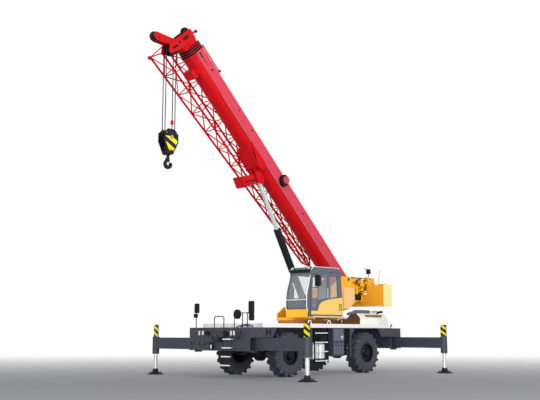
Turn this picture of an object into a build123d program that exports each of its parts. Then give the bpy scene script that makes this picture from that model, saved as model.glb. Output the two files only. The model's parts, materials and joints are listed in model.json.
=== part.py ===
from build123d import *
import os
from math import atan2, cos, degrees, hypot, pi, radians, sin

# Two-axle rough terrain crane standing on its four outriggers, boom raised over the front.
# Millimetres. X points forward, Y to the left, Z up. The origin lies on the ground, on the slewing axis.

# Wheels and axles
wheelbase = 4200.0
running_gap = 0.3
tyre_od = 1493.0
tyre_width = 520.0
overall_width = 2976.0
bead_radius = 318.0
rim_wall = 14.0
lug_count = 17
lug_depth = 58.0
lug_thickness = 92.0
lug_slant = 24.0
rim_flange = 36.0
rim_dish = 150.0
hub_radius = 190.0
hub_cap_radius = 115.0
spindle_radius = 90.0
spindle_play = 0.08
kingpin_lateral = 935.0
kingpin_radius = 45.0
axle_tube_radius = 125.0
axle_bulge_radius = 235.0
axle_bulge_length = 420.0
yoke_gap = 320.0
yoke_arm = 62.0
yoke_half_width = 80.0
knuckle_play = 0.3

# Chassis and deck
frame_half_width = 450.0
frame_bottom = 1000.0
frame_wall = 20.0
deck_bottom = 1650.0
deck_band = 140.0
deck_plate = 20.0
deck_half_width = 1488.0
deck_front = 4060.0
deck_rear = -3470.0
panel_thickness = 25.0
arch_low = 1330.0

# Outriggers
box_depth = 600.0
front_box_front = 4060.0
rear_box_rear = -4220.0
box_wall = 22.0
beam_height = 395.0
beam_bottom = 915.0
beam_slack = 8.0
beam_wall = 15.0
beam_inner_end = 640.0
pad_lateral = 3544.0
jack_tube_radius = 105.0
jack_tube_bottom = 740.0
jack_rod_radius = 70.0
jack_rod_slack = 0.3
jack_rod_engaged = 80.0
pad_radius = 300.0
pad_rim = 22.0
pad_height = 135.0
marker_width = 250.0
marker_height = 430.0
cover_height = 7.0

# Slewing ring and turntable
ring_radius = 820.0
ring_bore = 700.0
ring_height = 135.0
base_plate = 35.0
slew_gap = 0.3
tower_half_width = 420.0
tower_plate = 40.0
nose_front = 820.0
boom_pivot_x = -2340.0
boom_pivot_z = 3530.0
pivot_pin_radius = 60.0
main_drum_place = (-2990.0, 3330.0)
auxiliary_drum_place = (-3430.0, 3390.0)
drum_shaft = 55.0
cylinder_foot_x = -500.0
cylinder_foot_z = 2100.0
ear_gap = 310.0
ear_plate = 40.0
foot_slot_rear = -720.0
foot_slot_front = 640.0

# Counterweight
weight_front = -3200.0
weight_depth = 650.0
weight_bottom = 2510.0
weight_top = 3330.0
weight_half_width = 1460.0
weight_recess = 2960.0
recess_half_width = 640.0

# Cab
cab_front = 1130.0
cab_rear = -740.0
cab_inner = 430.0
cab_outer = 1452.0
cab_floor = 2030.0
cab_roof = 3750.0
cab_wall = 40.0
skirt_thickness = 10.0
guard_bar = 16.0
door_front = 1075.0
door_rear = 95.0
door_low = 2110.0
door_high = 3630.0
door_thickness = 30.0
door_gap = 6.0
door_travel = 720.0
glass_thickness = 8.0
sill_height = 2640.0

# Boom, measured from its foot pin: along the boom, and square to it
luff_deg = 44.35
boom_width = 660.0
boom_top = 105.0
boom_bottom = -566.0
boom_corner = 280.0
boom_wall = 14.0
section_gap = 14.0
base_start = -340.0
base_end = 10700.0
collar_length = 60.0
collar_gap = 20.0
collar_rise = 20.0
section_start = 560.0
section_stagger = 180.0
tail_pad = 140.0
head_plate = 30.0
head_half_width = 225.0
sheave_along = 11270.0
sheave_off = -918.0
sheave_radius = 190.0
rope_radius = 11.0
fall_lateral = 70.0
rod_pin_along = 5600.0
rod_pin_off = -760.0
rod_pin_radius = 50.0
seam_off = -330.0
wing_thickness = 14.0
reel_along = 4980.0
reel_off = -70.0

# Lift cylinder
barrel_radius = 132.0
barrel_wall = 24.0
barrel_length = 3570.0
barrel_eye_radius = 135.0
rod_radius = 77.0
rod_length = 3620.0
rod_eye_radius = 115.0
rod_eye_width = 170.0

# Hook block, hanging plumb from the head
block_drop = 3000.0
block_height = 820.0
block_width = 600.0
block_cheek = 35.0

# Derived levels and places
axle_height = tyre_od / 2
deck_top = deck_bottom + deck_band
wheel_lateral = (overall_width - tyre_width) / 2
beam_width = (box_depth - 3 * box_wall - 4 * beam_slack) / 2
beam_top = beam_bottom + beam_height
box_bottom = beam_bottom - beam_slack - box_wall
box_top = beam_top + beam_slack + box_wall
slot_pitch = beam_width + 2 * beam_slack + box_wall
ring_top = deck_top + ring_height
turntable_bottom = ring_top
turntable_floor = turntable_bottom + base_plate
weight_rear = weight_front - weight_depth
luff = radians(luff_deg)
boom_axis = Vector(cos(luff), 0, sin(luff))
boom_normal = Vector(-sin(luff), 0, cos(luff))
boom_foot = Vector(boom_pivot_x, 0, boom_pivot_z)

os.makedirs("parts", exist_ok=True)


def save(builder, name):
    """Label a finished piece and write its STEP file."""
    builder.part.label = name
    export_step(builder.part, f"parts/{name}.step")


def boom_point(along, off, y=0.0):
    """A point given along the boom, square to it and to the left."""
    return boom_foot + boom_axis * along + boom_normal * off + Vector(0, y, 0)


def side_plane(y):
    """Upright plane facing right at this lateral place: local x is forward, local y is up."""
    return Plane(origin=(0, y, 0), x_dir=(1, 0, 0), z_dir=(0, -1, 0))


def boom_side_plane(y):
    """The same for the boom: local x runs along it from the foot pin, local y is square to it."""
    return Plane(origin=boom_point(0, 0, y), x_dir=boom_axis, z_dir=(0, -1, 0))


def boom_station(along):
    """Plane across the boom at a distance from its foot pin: local x is left, local y is square to it."""
    return Plane(origin=boom_point(along, 0), x_dir=(0, 1, 0), z_dir=boom_axis)


def plate(plane, points, thickness):
    """Add a flat plate with a straight-sided outline to the piece in hand."""
    with BuildSketch(plane) as outline:
        with BuildLine():
            Polyline(*points, close=True)
        make_face()
    extrude(outline.sketch, amount=thickness)


def side_plate(points, y_high, y_low):
    """Plate between two lateral places, outlined in forward and up."""
    plate(side_plane(y_high), points, y_high - y_low)


def boom_plate(points, y_high, y_low):
    """Plate between two lateral places, outlined along the boom and square to it."""
    plate(boom_side_plane(y_high), points, y_high - y_low)


def block(x, y, z):
    """Add a box given by its low and high place on each axis."""
    centre = ((x[0] + x[1]) / 2, (y[0] + y[1]) / 2, (z[0] + z[1]) / 2)
    with Locations(centre):
        Box(abs(x[1] - x[0]), abs(y[1] - y[0]), abs(z[1] - z[0]))


def block_cut(x, y, z):
    """Cut a box given by its low and high place on each axis."""
    centre = ((x[0] + x[1]) / 2, (y[0] + y[1]) / 2, (z[0] + z[1]) / 2)
    with Locations(centre):
        Box(abs(x[1] - x[0]), abs(y[1] - y[0]), abs(z[1] - z[0]), mode=Mode.SUBTRACT)


def bar(start, end, radius, mode=Mode.ADD):
    """Add a round bar from one point to another."""
    run = Vector(*end) - Vector(*start)
    with BuildSketch(Plane(origin=start, z_dir=run)) as disc:
        Circle(radius)
    extrude(disc.sketch, amount=run.length, mode=mode)


def ring_bar(start, end, radius, bore):
    """Add a round bar with a bore from one point to another."""
    run = Vector(*end) - Vector(*start)
    with BuildSketch(Plane(origin=start, z_dir=run)) as ring:
        Circle(radius)
        Circle(bore, mode=Mode.SUBTRACT)
    extrude(ring.sketch, amount=run.length)


def square_bar(start, end, width):
    """Add a square bar from one point to another."""
    run = Vector(*end) - Vector(*start)
    with BuildSketch(Plane(origin=start, z_dir=run)) as square:
        Rectangle(width, width)
    extrude(square.sketch, amount=run.length)


def turned(plane, points):
    """Add a solid of revolution about the plane's local x axis from points of distance and radius."""
    with BuildSketch(plane) as half:
        with BuildLine():
            Polyline(*points, close=True)
        make_face()
    revolve(half.sketch, axis=Axis(plane.origin, plane.x_dir))


# Chassis frame: a welded box beam from box to box with the axle seats under it
frame_front = front_box_front - box_depth
frame_rear = rear_box_rear + box_depth
with BuildPart() as chassis_frame:
    block((frame_rear, frame_front), (-frame_half_width, frame_half_width), (frame_bottom, deck_bottom))
    with Locations(((frame_front + frame_rear) / 2, 0, (frame_bottom + deck_bottom) / 2)):
        Box(frame_front - frame_rear - 2 * frame_wall, 2 * (frame_half_width - frame_wall),
            deck_bottom - frame_bottom - 2 * frame_wall, mode=Mode.SUBTRACT)
save(chassis_frame, "chassis_frame")


def outrigger_box(front, name):
    """Cross box with two open slots side by side and the bumper block on it."""
    rear = front - box_depth
    right_slot = front - box_wall - beam_slack - beam_width / 2
    with BuildPart() as box:
        block((rear, front), (-deck_half_width, deck_half_width), (box_bottom, box_top))
        block((rear, front), (-deck_half_width, deck_half_width), (box_top, deck_bottom))
        for slot in (right_slot, right_slot - slot_pitch):
            with Locations((slot, 0, beam_bottom + beam_height / 2)):
                Box(beam_width + 2 * beam_slack, 2 * deck_half_width + 2, beam_height + 2 * beam_slack,
                    mode=Mode.SUBTRACT)
        with Locations(((rear + front) / 2, 0, (box_top + deck_bottom) / 2)):
            Box(box_depth - 2 * box_wall, 2 * (deck_half_width - box_wall),
                deck_bottom - box_top - 2 * box_wall, mode=Mode.SUBTRACT)
        # Recess in the outer face between the lamps, and a lug plate under the beam
        face = front if front > 0 else rear
        with Locations((face, 75, 1390)):
            Box(2 * box_wall - 6, 620, 210, mode=Mode.SUBTRACT)
        for y in (-deck_half_width + 130, deck_half_width - 130):
            block((rear + 180, front - 180), (y - 60, y + 60), (box_bottom - 55, box_bottom))
        outward = 1 if front > 0 else -1
        block((face - outward * (box_wall - 6), face + outward * 60), (-215, -175),
              (box_bottom + 60, box_bottom + 210))
        bar((face + outward * 45, -225, box_bottom + 135), (face + outward * 45, -165, box_bottom + 135), 26)
    save(box, name)
    return right_slot


front_right_slot = outrigger_box(front_box_front, "front_outrigger_box")
rear_right_slot = outrigger_box(rear_box_rear + box_depth, "rear_outrigger_box")

# Deck: checker plate with the pale band round its edge
with BuildPart() as deck:
    block((deck_rear, deck_front), (-deck_half_width, deck_half_width), (deck_bottom, deck_top))
    with Locations(((deck_rear + deck_front) / 2, 0, deck_bottom + (deck_band - deck_plate) / 2)):
        Box(deck_front - deck_rear - 2 * deck_plate, 2 * (deck_half_width - deck_plate),
            deck_band - deck_plate, mode=Mode.SUBTRACT)
save(deck, "deck")

# Arch panels: the dark side panels between the wheels and the outrigger boxes
arch_panels_left = [
    [(2790, deck_bottom), (frame_front, deck_bottom), (frame_front, arch_low), (3000, arch_low)],
    [(1440, deck_bottom), (1030, deck_bottom), (1030, 620), (1110, 620), (1200, arch_low)],
    [(-1360, deck_bottom), (-1130, arch_low), (-1130, 620), (-1050, 620), (-1050, deck_bottom)],
    [(-2755, deck_bottom), (-2970, arch_low), (frame_rear, arch_low), (frame_rear, deck_bottom)],
]
with BuildPart() as arch_panels:
    for outline in arch_panels_left:
        side_plate(outline, deck_half_width, deck_half_width - panel_thickness)
        side_plate(outline, -deck_half_width + panel_thickness, -deck_half_width)
save(arch_panels, "arch_panels")

# Engine hood across the rear deck: a high ridge on the left, lower to the right
hood_front = -2280.0
hood_rear = -4070.0
hood_half_width = 1000.0
hood_top = 2208.0
hood_shoulder = 2040.0
hood_low = 2000.0
hood_wall = 12.0
hood_outline = [(hood_half_width, hood_shoulder), (818, hood_top), (556, hood_top), (400, hood_shoulder), (380, hood_low),
                (-hood_half_width, hood_low)]
with BuildPart() as engine_hood:
    plate(Plane.YZ.offset(deck_rear), [(-hood_half_width, deck_top), (hood_half_width, deck_top)] + hood_outline,
          hood_front - deck_rear)
    plate(Plane.YZ.offset(hood_rear), [(-hood_half_width, deck_bottom), (hood_half_width, deck_bottom)] + hood_outline,
          deck_rear - hood_rear)
    inner_top = hood_low - hood_wall
    with Locations(((hood_front + deck_rear) / 2, 0, (deck_top + inner_top) / 2)):
        Box(hood_front - deck_rear - 2 * hood_wall, 2 * (hood_half_width - hood_wall), inner_top - deck_top,
            mode=Mode.SUBTRACT)
    # Louvres on the ridge's flat top and on the low part, cut as slots
    for number in range(9):
        x = hood_front - 480 - 75 * number
        block_cut((x, x + 26), (590, 790), (hood_top - 14, hood_top + 1))
        block_cut((x, x + 26), (-820, 200), (hood_low - 30, hood_low + 1))
    # Front face door with its frame, and the exhaust with its turned end
    block((hood_front, hood_front + 12), (480, 900), (1840, 2090))
    bar((-3350, 687, hood_top - 8), (-3350, 687, hood_top + 60), 62)
    bar((-3290, 687, hood_top + 55), (-3730, 687, hood_top + 90), 52)
    block((-2540, -2440), (-300, 200), (hood_low - 5, hood_low + 60))
save(engine_hood, "engine_hood")

with BuildPart() as engine_block:
    block((deck_rear + 150, hood_front - 150), (-500, 500), (deck_top, hood_low - 60))
save(engine_block, "engine_block")

# Side tanks, cabinets, steps, rails and lamps
tank_radius = 150.0
tank_low = 560.0
tank_high = 1115.0
step_front = 870.0
step_rear = 170.0
tank_lateral = deck_half_width - 75 - tank_radius
with BuildPart() as side_tanks:
    for x in (step_rear + 170, step_front - 170):
        upright = Plane(origin=(x, tank_lateral, tank_low), x_dir=(0, 0, 1), z_dir=(0, 1, 0))
        tall = tank_high - tank_low
        turned(upright, [(0, 0), (0, 90), (45, tank_radius), (tall - 45, tank_radius), (tall, 90), (tall, 0)])
    for z in (tank_low + 120, tank_high - 160):
        block((step_rear + 20, step_front - 20), (tank_lateral - 90, tank_lateral + 30), (z, z + 40))
    for x in (step_rear + 60, step_front - 60):
        block((x - 20, x + 20), (tank_lateral - 130, tank_lateral - 90), (tank_low, 1140))
        block((x - 20, x + 20), (frame_half_width, tank_lateral - 90), (1060, 1140))
        block((x - 20, x + 20), (tank_lateral - 130, tank_lateral - 60), (tank_low + 120, tank_low + 160))
        block((x - 20, x + 20), (tank_lateral - 130, tank_lateral - 60), (tank_high - 160, tank_high - 120))
save(side_tanks, "side_tanks")

with BuildPart() as side_cabinets:
    for side in (1, -1):
        block((-720, -90), (side * 900, side * deck_half_width), (650, deck_bottom))
        block((-640, -540), (side * frame_half_width, side * 900), (1150, 1300))
    block((200, 860), (-deck_half_width, -900), (650, deck_bottom))
    block((400, 500), (-900, -frame_half_width), (1150, 1300))
save(side_cabinets, "side_cabinets")

ladder_lateral = 340.0
with BuildPart() as access_steps:
    for rail in (-230, 230):
        block((front_box_front, front_box_front + 30), (ladder_lateral + rail - 20, ladder_lateral + rail + 20),
              (360, 1330))
    for step in range(4):
        z = 400 + 270 * step
        block((front_box_front, front_box_front + 110), (ladder_lateral - 210, ladder_lateral + 210), (z, z + 35))
    for rail in (step_rear + 15, step_front - 15):
        block((rail - 15, rail + 15), (deck_half_width - 45, deck_half_width), (430, deck_bottom))
    for z in (490, 810, 1130, 1450):
        block((step_rear, step_front), (deck_half_width - 55, deck_half_width), (z, z + 35))
save(access_steps, "access_steps")

rail_radius = 16.0
rail_x = 3930.0
mirror_thick = 70.0


def mirror(y, low, high, width):
    """Upright mirror head with rounded corners, its glass facing back."""
    with BuildSketch(Plane.YZ.offset(rail_x - mirror_thick / 2)) as head:
        with Locations((y, (low + high) / 2)):
            RectangleRounded(width, high - low, 45)
    extrude(head.sketch, amount=mirror_thick)


with BuildPart() as deck_rails:
    # Hoop rail in the middle, bent from one tube
    with BuildLine(Plane.YZ.offset(rail_x)) as hoop:
        FilletPolyline((-360, deck_top), (-360, deck_top + 230), (110, deck_top + 230), (110, deck_top), radius=70)
    with BuildSketch(Plane(origin=(rail_x, -360, deck_top), z_dir=(0, 0, 1))) as tube:
        Circle(rail_radius)
    sweep(tube.sketch, path=hoop.wires()[0])
    # Posts with their mirrors
    bar((rail_x, -1300, deck_top), (rail_x, -1300, 2200), rail_radius)
    mirror(-1270, 2150, 2480, 190)
    mirror(-1330, 1990, 2130, 150)
    bar((rail_x, 620, deck_top), (rail_x, 620, 2080), rail_radius - 3)
    bar((rail_x, 1010, deck_top), (rail_x, 1010, 2140), rail_radius)
    bar((rail_x, 1240, deck_top), (rail_x, 1240, 2140), rail_radius)
    bar((rail_x, 600, 2120), (rail_x, 1480, 2120), rail_radius - 2)
    bar((rail_x - 35, 760, 2080), (rail_x + 35, 760, 2080), 155)
    mirror(1420, 2070, 2500, 210)
    mirror(1430, 1870, 2075, 190)
save(deck_rails, "deck_rails")

with BuildPart() as front_lamps:
    for y in (-600.0, 340.0):
        bar((front_box_front, y, 1500), (front_box_front + 70, y, 1500), 100)
    for y in (-930.0, 640.0):
        block((front_box_front, front_box_front + 30), (y - 100, y + 100), (1430, 1570))
save(front_lamps, "front_lamps")

with BuildPart() as slew_ring:
    with BuildSketch(Plane.XY.offset(deck_top)) as ring_section:
        Circle(ring_radius)
        Circle(ring_bore, mode=Mode.SUBTRACT)
    extrude(ring_section.sketch, amount=ring_height - slew_gap)
    # Bolted flange and the lifting lugs beside it
    with BuildSketch(Plane.XY.offset(deck_top)) as flange:
        Circle(ring_radius + 45)
        Circle(ring_bore + 10, mode=Mode.SUBTRACT)
    extrude(flange.sketch, amount=35)
save(slew_ring, "slew_ring")


def axle(x, name):
    """Drive axle: tube with a differential bulge, seats up to the frame and a fork at each end."""
    fork_start = kingpin_lateral - 190
    with BuildPart() as beam:
        across = Plane(origin=(x, 0, axle_height), x_dir=(0, 1, 0), z_dir=(1, 0, 0))
        half = axle_bulge_length / 2
        turned(across, [(-fork_start, 0), (-fork_start, axle_tube_radius), (-half, axle_tube_radius),
                        (-half / 2, axle_bulge_radius), (half / 2, axle_bulge_radius), (half, axle_tube_radius),
                        (fork_start, axle_tube_radius), (fork_start, 0)])
        for side in (1, -1):
            block((x - yoke_half_width, x + yoke_half_width), (side * (fork_start - 60), side * (fork_start + 40)),
                  (axle_height - yoke_gap / 2 - yoke_arm, axle_height + yoke_gap / 2 + yoke_arm))
            for level in (-1, 1):
                inner = axle_height + level * yoke_gap / 2
                block((x - yoke_half_width, x + yoke_half_width),
                      (side * fork_start, side * (kingpin_lateral + 50)), (inner, inner + level * yoke_arm))
            block((x - 110, x + 110), (side * 240, side * 400), (axle_height, frame_bottom))
    save(beam, name)


axle(wheelbase / 2, "front_axle")
axle(-wheelbase / 2, "rear_axle")


def wheel(x, side, tag):
    """Knuckle, rim and tyre of one wheel."""
    outward = Plane(origin=(x, side * wheel_lateral, axle_height), x_dir=(0, side, 0), z_dir=(side, 0, 0))
    half = tyre_width / 2
    knuckle_half = yoke_gap / 2 - knuckle_play
    spindle_start = kingpin_lateral + 60 - wheel_lateral
    spindle_end = rim_dish - 30
    with BuildPart() as knuckle:
        block((x - 68, x + 68), (side * (kingpin_lateral - 60), side * (kingpin_lateral + 62)),
              (axle_height - knuckle_half, axle_height + knuckle_half))
        turned(outward, [(spindle_start, 0), (spindle_start, spindle_radius), (spindle_end, spindle_radius),
                         (spindle_end, 0)])
    save(knuckle, f"knuckle_{tag}")
    barrel = bead_radius - 0.5
    bore = spindle_radius + spindle_play
    with BuildPart() as rim:
        turned(outward, [
            (-half + 18, barrel - rim_wall), (-half + 18, barrel + rim_flange), (-half + 34, barrel + rim_flange),
            (-half + 34, barrel), (half - 34, barrel), (half - 34, barrel + rim_flange),
            (half - 18, barrel + rim_flange), (half - 18, barrel - rim_wall)])
        turned(outward, [
            (rim_dish - 120, bore), (rim_dish - 120, hub_radius), (rim_dish - 40, hub_radius),
            (rim_dish - 40, barrel - rim_wall + 2), (rim_dish - 10, barrel - rim_wall + 2),
            (rim_dish - 10, hub_radius), (rim_dish + 30, hub_cap_radius + 20), (rim_dish + 90, hub_cap_radius),
            (rim_dish + 90, 0), (spindle_end + 3, 0), (spindle_end + 3, bore)])
    save(rim, f"rim_{tag}")
    tread_radius = tyre_od / 2 - lug_depth
    with BuildPart() as tyre:
        turned(outward, [
            (-half + 36, bead_radius), (-half + 36, bead_radius + 40), (-half + 4, 450), (-half + 4, 600),
            (-half + 70, tread_radius), (half - 70, tread_radius), (half - 4, 600), (half - 4, 450),
            (half - 36, bead_radius + 40), (half - 36, bead_radius)])
        crown = tyre_od / 2 - 2
        for row in (1, -1):
            for number in range(lug_count):
                turn = 360 / lug_count * (number + (row - 1) / 4)
                spot = Location((x, side * wheel_lateral, axle_height), (0, turn, 0))
                lug_plane = Plane(spot * Location((0, 0, 0), (0, 0, row * lug_slant)))
                lug_plane = Plane(origin=lug_plane.origin, x_dir=lug_plane.y_dir * row, z_dir=lug_plane.x_dir)
                with BuildSketch(lug_plane.offset(-lug_thickness / 2)) as lug:
                    with BuildLine():
                        up = 1 if lug_plane.y_dir.dot(Plane(spot).z_dir) > 0 else -1
                        Polyline((12, up * (tread_radius - 8)), (12, up * crown), (half - 26, up * crown),
                                 (half + 8, up * (crown - 62)), (half - 2, up * 590), (half - 110, up * 600),
                                 close=True)
                    make_face()
                extrude(lug.sketch, amount=lug_thickness)
    save(tyre, f"tyre_{tag}")


for place, front_rear in (("front", 1), ("rear", -1)):
    for hand, side in (("left", 1), ("right", -1)):
        wheel(front_rear * wheelbase / 2, side, f"{place}_{hand}")


def outrigger(x, side, tag):
    """Sliding beam with its jack tube and marker post, and the jack rod with its round pad."""
    tube_top = box_top
    with BuildPart() as beam:
        block((x - beam_width / 2, x + beam_width / 2), (side * beam_inner_end, side * pad_lateral),
              (beam_bottom, beam_top))
        with Locations((x, side * (beam_inner_end + 50), beam_bottom + beam_height / 2)):
            Box(beam_width + 2 * (beam_slack - running_gap), 100, beam_height + 2 * (beam_slack - running_gap))
        middle = (beam_inner_end + pad_lateral) / 2
        with Locations((x, side * (middle - jack_tube_radius), beam_bottom + beam_height / 2)):
            Box(beam_width - 2 * beam_wall, pad_lateral - beam_inner_end, beam_height - 2 * beam_wall,
                mode=Mode.SUBTRACT)
        bar((x, side * pad_lateral, jack_tube_bottom), (x, side * pad_lateral, tube_top), jack_tube_radius + 20)
        bar((x, side * pad_lateral, jack_tube_bottom), (x, side * pad_lateral, tube_top - 15),
            jack_rod_radius + jack_rod_slack, mode=Mode.SUBTRACT)
        block((x - 12, x + 12), (side * pad_lateral - marker_width / 2, side * pad_lateral + marker_width / 2),
              (tube_top - 1, tube_top + marker_height))
        # Round cover on each face near the jack
        cover = (side * (pad_lateral - 190), beam_bottom + beam_height / 2)
        for face in (x + beam_width / 2 - 1, x - beam_width / 2 - cover_height + 1):
            bar((face, *cover), (face + cover_height, *cover), 95)
    save(beam, f"outrigger_beam_{tag}")
    with BuildPart() as jack:
        bar((x, side * pad_lateral, pad_height - 20), (x, side * pad_lateral, jack_tube_bottom + jack_rod_engaged),
            jack_rod_radius)
        upright = Plane(origin=(x, side * pad_lateral, 0), x_dir=(0, 0, 1), z_dir=(0, 1, 0))
        turned(upright, [(0, 0), (0, pad_radius), (pad_rim, pad_radius), (pad_rim + 12, pad_radius - 60),
                         (pad_height * 0.5, 150), (pad_height, 95), (pad_height + 60, 85), (pad_height + 60, 0)])
    save(jack, f"jack_{tag}")


outrigger(front_right_slot - slot_pitch, 1, "front_left")
outrigger(front_right_slot, -1, "front_right")
outrigger(rear_right_slot - slot_pitch, 1, "rear_left")
outrigger(rear_right_slot, -1, "rear_right")

# Turntable: two tower plates on a base plate, with the ears for the lift cylinder between them
tower_outline = [
    (nose_front, turntable_bottom), (nose_front, 2155), (490, 2390), (-1000, 3010), (-2000, 3640), (-2700, 3640),
    (-2760, 3540), (-3560, 3540), (-3640, 3460), (-3640, 3240), (-3190, 3000), (-2860, 2990), (-2860, 2700),
    (-2360, 2390), (-1950, 2290), (-1000, turntable_bottom),
]
with BuildPart() as turntable_frame:
    for y in (tower_half_width, -tower_half_width + tower_plate):
        side_plate(tower_outline, y, y - tower_plate)
    for x, z, radius in ((boom_pivot_x, boom_pivot_z, pivot_pin_radius), (*main_drum_place, drum_shaft),
                         (*auxiliary_drum_place, drum_shaft)):
        bar((x, -tower_half_width - 1, z), (x, tower_half_width + 1, z), radius + spindle_play, mode=Mode.SUBTRACT)
    with BuildSketch(Plane.XY.offset(turntable_bottom)) as floor_outline:
        with BuildLine():
            Polyline((nose_front, -tower_half_width), (nose_front, tower_half_width), (400, 700), (-600, 700),
                     (-1000, tower_half_width), (-1000, -tower_half_width), (-600, -700), (400, -700), close=True)
        make_face()
        with Locations(((foot_slot_rear + foot_slot_front) / 2, 0)):
            Rectangle(foot_slot_front - foot_slot_rear, ear_gap, mode=Mode.SUBTRACT)
    extrude(floor_outline.sketch, amount=base_plate)
    block((nose_front - 25, nose_front), (-tower_half_width, tower_half_width), (turntable_bottom, 2030))
    # Cab platform arms
    for x in (-600, 800):
        block((x - 60, x + 60), (tower_half_width - 10, cab_outer - 60), (turntable_floor, cab_floor))
    # Ears of the lift cylinder's foot
    for y in (ear_gap / 2 + ear_plate, -ear_gap / 2):
        side_plate([(cylinder_foot_x - 260, turntable_floor), (cylinder_foot_x + 260, turntable_floor),
                    (cylinder_foot_x + 110, cylinder_foot_z + 120), (cylinder_foot_x - 110, cylinder_foot_z + 120)],
                   y, y - ear_plate)
    # Cross plates at the back, which also carry the counterweight and the winches
    block((-2850, -2825), (-tower_half_width + tower_plate, tower_half_width - tower_plate), (2700, 2985))
    for y in (tower_half_width - 60, -tower_half_width):
        block((weight_front, -2840), (y, y + 60), (2710, 3010))
    # Pivot bosses, winch gear housings outside the left plate and their guard beam
    for side in (1, -1):
        y = tower_half_width if side == 1 else -tower_half_width
        ring_bar((boom_pivot_x, y, boom_pivot_z), (boom_pivot_x, y + side * 18, boom_pivot_z), 110,
                 pivot_pin_radius + spindle_play)
    for x, z in (main_drum_place, auxiliary_drum_place):
        ring_bar((x, tower_half_width, z), (x, tower_half_width + 70, z), 135, drum_shaft + spindle_play)
        ring_bar((x, tower_half_width + 70, z), (x, tower_half_width + 190, z), 88, drum_shaft + spindle_play)
    block((-3560, -2700), (tower_half_width - 2, tower_half_width + 120), (3100, 3150))
    for x in (-3540, -3180, -2760):
        block((x, x + 40), (tower_half_width - 2, tower_half_width + 120), (2960, 3150))
save(turntable_frame, "turntable_frame")

with BuildPart() as counterweight:
    with BuildSketch(Plane.XY.offset(weight_bottom)) as weight_plan:
        with BuildLine():
            Polyline((weight_front, -weight_half_width), (weight_front, weight_half_width),
                     (weight_rear + 120, weight_half_width), (weight_rear, weight_half_width - 260),
                     (weight_rear, -weight_half_width + 260), (weight_rear + 120, -weight_half_width), close=True)
        make_face()
    extrude(weight_plan.sketch, amount=weight_top - weight_bottom)
    with Locations(((weight_front + weight_rear) / 2, 0, (weight_recess + weight_top) / 2)):
        Box(weight_depth + 2, 2 * recess_half_width, weight_top - weight_recess, mode=Mode.SUBTRACT)
save(counterweight, "counterweight")


def drum(x, z, name):
    """Winch drum between two flanges, turning between the tower plates."""
    half = tower_half_width - tower_plate - 6
    with BuildPart() as spool:
        across = Plane(origin=(x, 0, z), x_dir=(0, 1, 0), z_dir=(1, 0, 0))
        stub = tower_half_width - 5
        turned(across, [(-stub, 0), (-stub, drum_shaft), (-half, drum_shaft), (-half, 190), (-half + 25, 190),
                        (-half + 25, 130), (half - 25, 130), (half - 25, 190), (half, 190), (half, drum_shaft),
                        (stub, drum_shaft), (stub, 0)])
    save(spool, name)


drum(*main_drum_place, "main_drum")
drum(*auxiliary_drum_place, "auxiliary_drum")


def cab_solid(y_high, y_low, inset=0.0, mode=Mode.ADD):
    """The cab's side outline, drawn in by the inset, between two lateral places."""
    with BuildSketch(side_plane(y_high)) as outline:
        with BuildLine():
            Line((cab_rear, cab_floor), (cab_front, cab_floor))
            Line((cab_front, cab_floor), (cab_front + 85, 2370))
            ThreePointArc((cab_front + 85, 2370), (cab_front + 60, 2830), (cab_front - 50, 3200))
            Line((cab_front - 50, 3200), (cab_front - 200, cab_roof - 75))
            ThreePointArc((cab_front - 200, cab_roof - 75), (cab_front - 240, cab_roof - 20), (cab_front - 300, cab_roof))
            Line((cab_front - 300, cab_roof), (cab_rear + 230, cab_roof))
            ThreePointArc((cab_rear + 230, cab_roof), (cab_rear + 165, cab_roof - 25), (cab_rear + 130, cab_roof - 90))
            Line((cab_rear + 130, cab_roof - 90), (cab_rear, cab_floor))
        make_face()
        if inset:
            offset(amount=-inset, kind=Kind.INTERSECTION, mode=Mode.REPLACE)
    extrude(outline.sketch, amount=y_high - y_low, mode=mode)


def side_window(points, y_high, y_low):
    """Cut a window through the walls between two lateral places."""
    with BuildSketch(side_plane(y_high)) as opening:
        with BuildLine():
            Polyline(*points, close=True)
        make_face()
    extrude(opening.sketch, amount=y_high - y_low, mode=Mode.SUBTRACT)


rear_window = [(-430, 2765), (20, 2700), (20, 3510), (-400, 3510)]
inner_window = [(-480, 2765), (850, 2700), (800, 3510), (-450, 3510)]
doorway = [(door_rear + 20, door_low + 20), (door_front - 20, door_low + 20), (door_front - 20, door_high - 20),
           (door_rear + 20, door_high - 20)]
cab_middle = (cab_inner + cab_outer) / 2
with BuildPart() as cab_shell:
    cab_solid(cab_outer, cab_inner)
    cab_solid(cab_outer - cab_wall, cab_inner + cab_wall, inset=cab_wall, mode=Mode.SUBTRACT)
    side_window(rear_window, cab_outer + 1, cab_outer - cab_wall - 1)
    side_window(doorway, cab_outer + 1, cab_outer - cab_wall - 1)
    side_window(inner_window, cab_inner + cab_wall + 1, cab_inner - 1)
    # Windscreen, rear and roof openings
    screen_low = 2330
    with Locations((cab_front, cab_middle, (screen_low + cab_roof - 170) / 2)):
        Box(500, cab_outer - cab_inner - 150, cab_roof - 170 - screen_low, mode=Mode.SUBTRACT)
    with Locations((cab_rear + 90, cab_middle, 3130)):
        Box(300, cab_outer - cab_inner - 260, 760, mode=Mode.SUBTRACT)
    with Locations((470, cab_middle, cab_roof)):
        Box(520, cab_outer - cab_inner - 220, 120, mode=Mode.SUBTRACT)
    # Runners of the sliding door
    for low in (door_high + running_gap, door_low - running_gap - 40):
        block((door_rear - door_travel - 15, door_front), (cab_outer - 1, cab_outer + door_gap + door_thickness),
              (low, low + 40))
    # Roof gutter rails
    for y in (cab_inner + 30, cab_outer - 30):
        block((cab_rear + 240, cab_front - 330), (y - 20, y + 20), (cab_roof - 5, cab_roof + 35))
save(cab_shell, "cab_shell")

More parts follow.
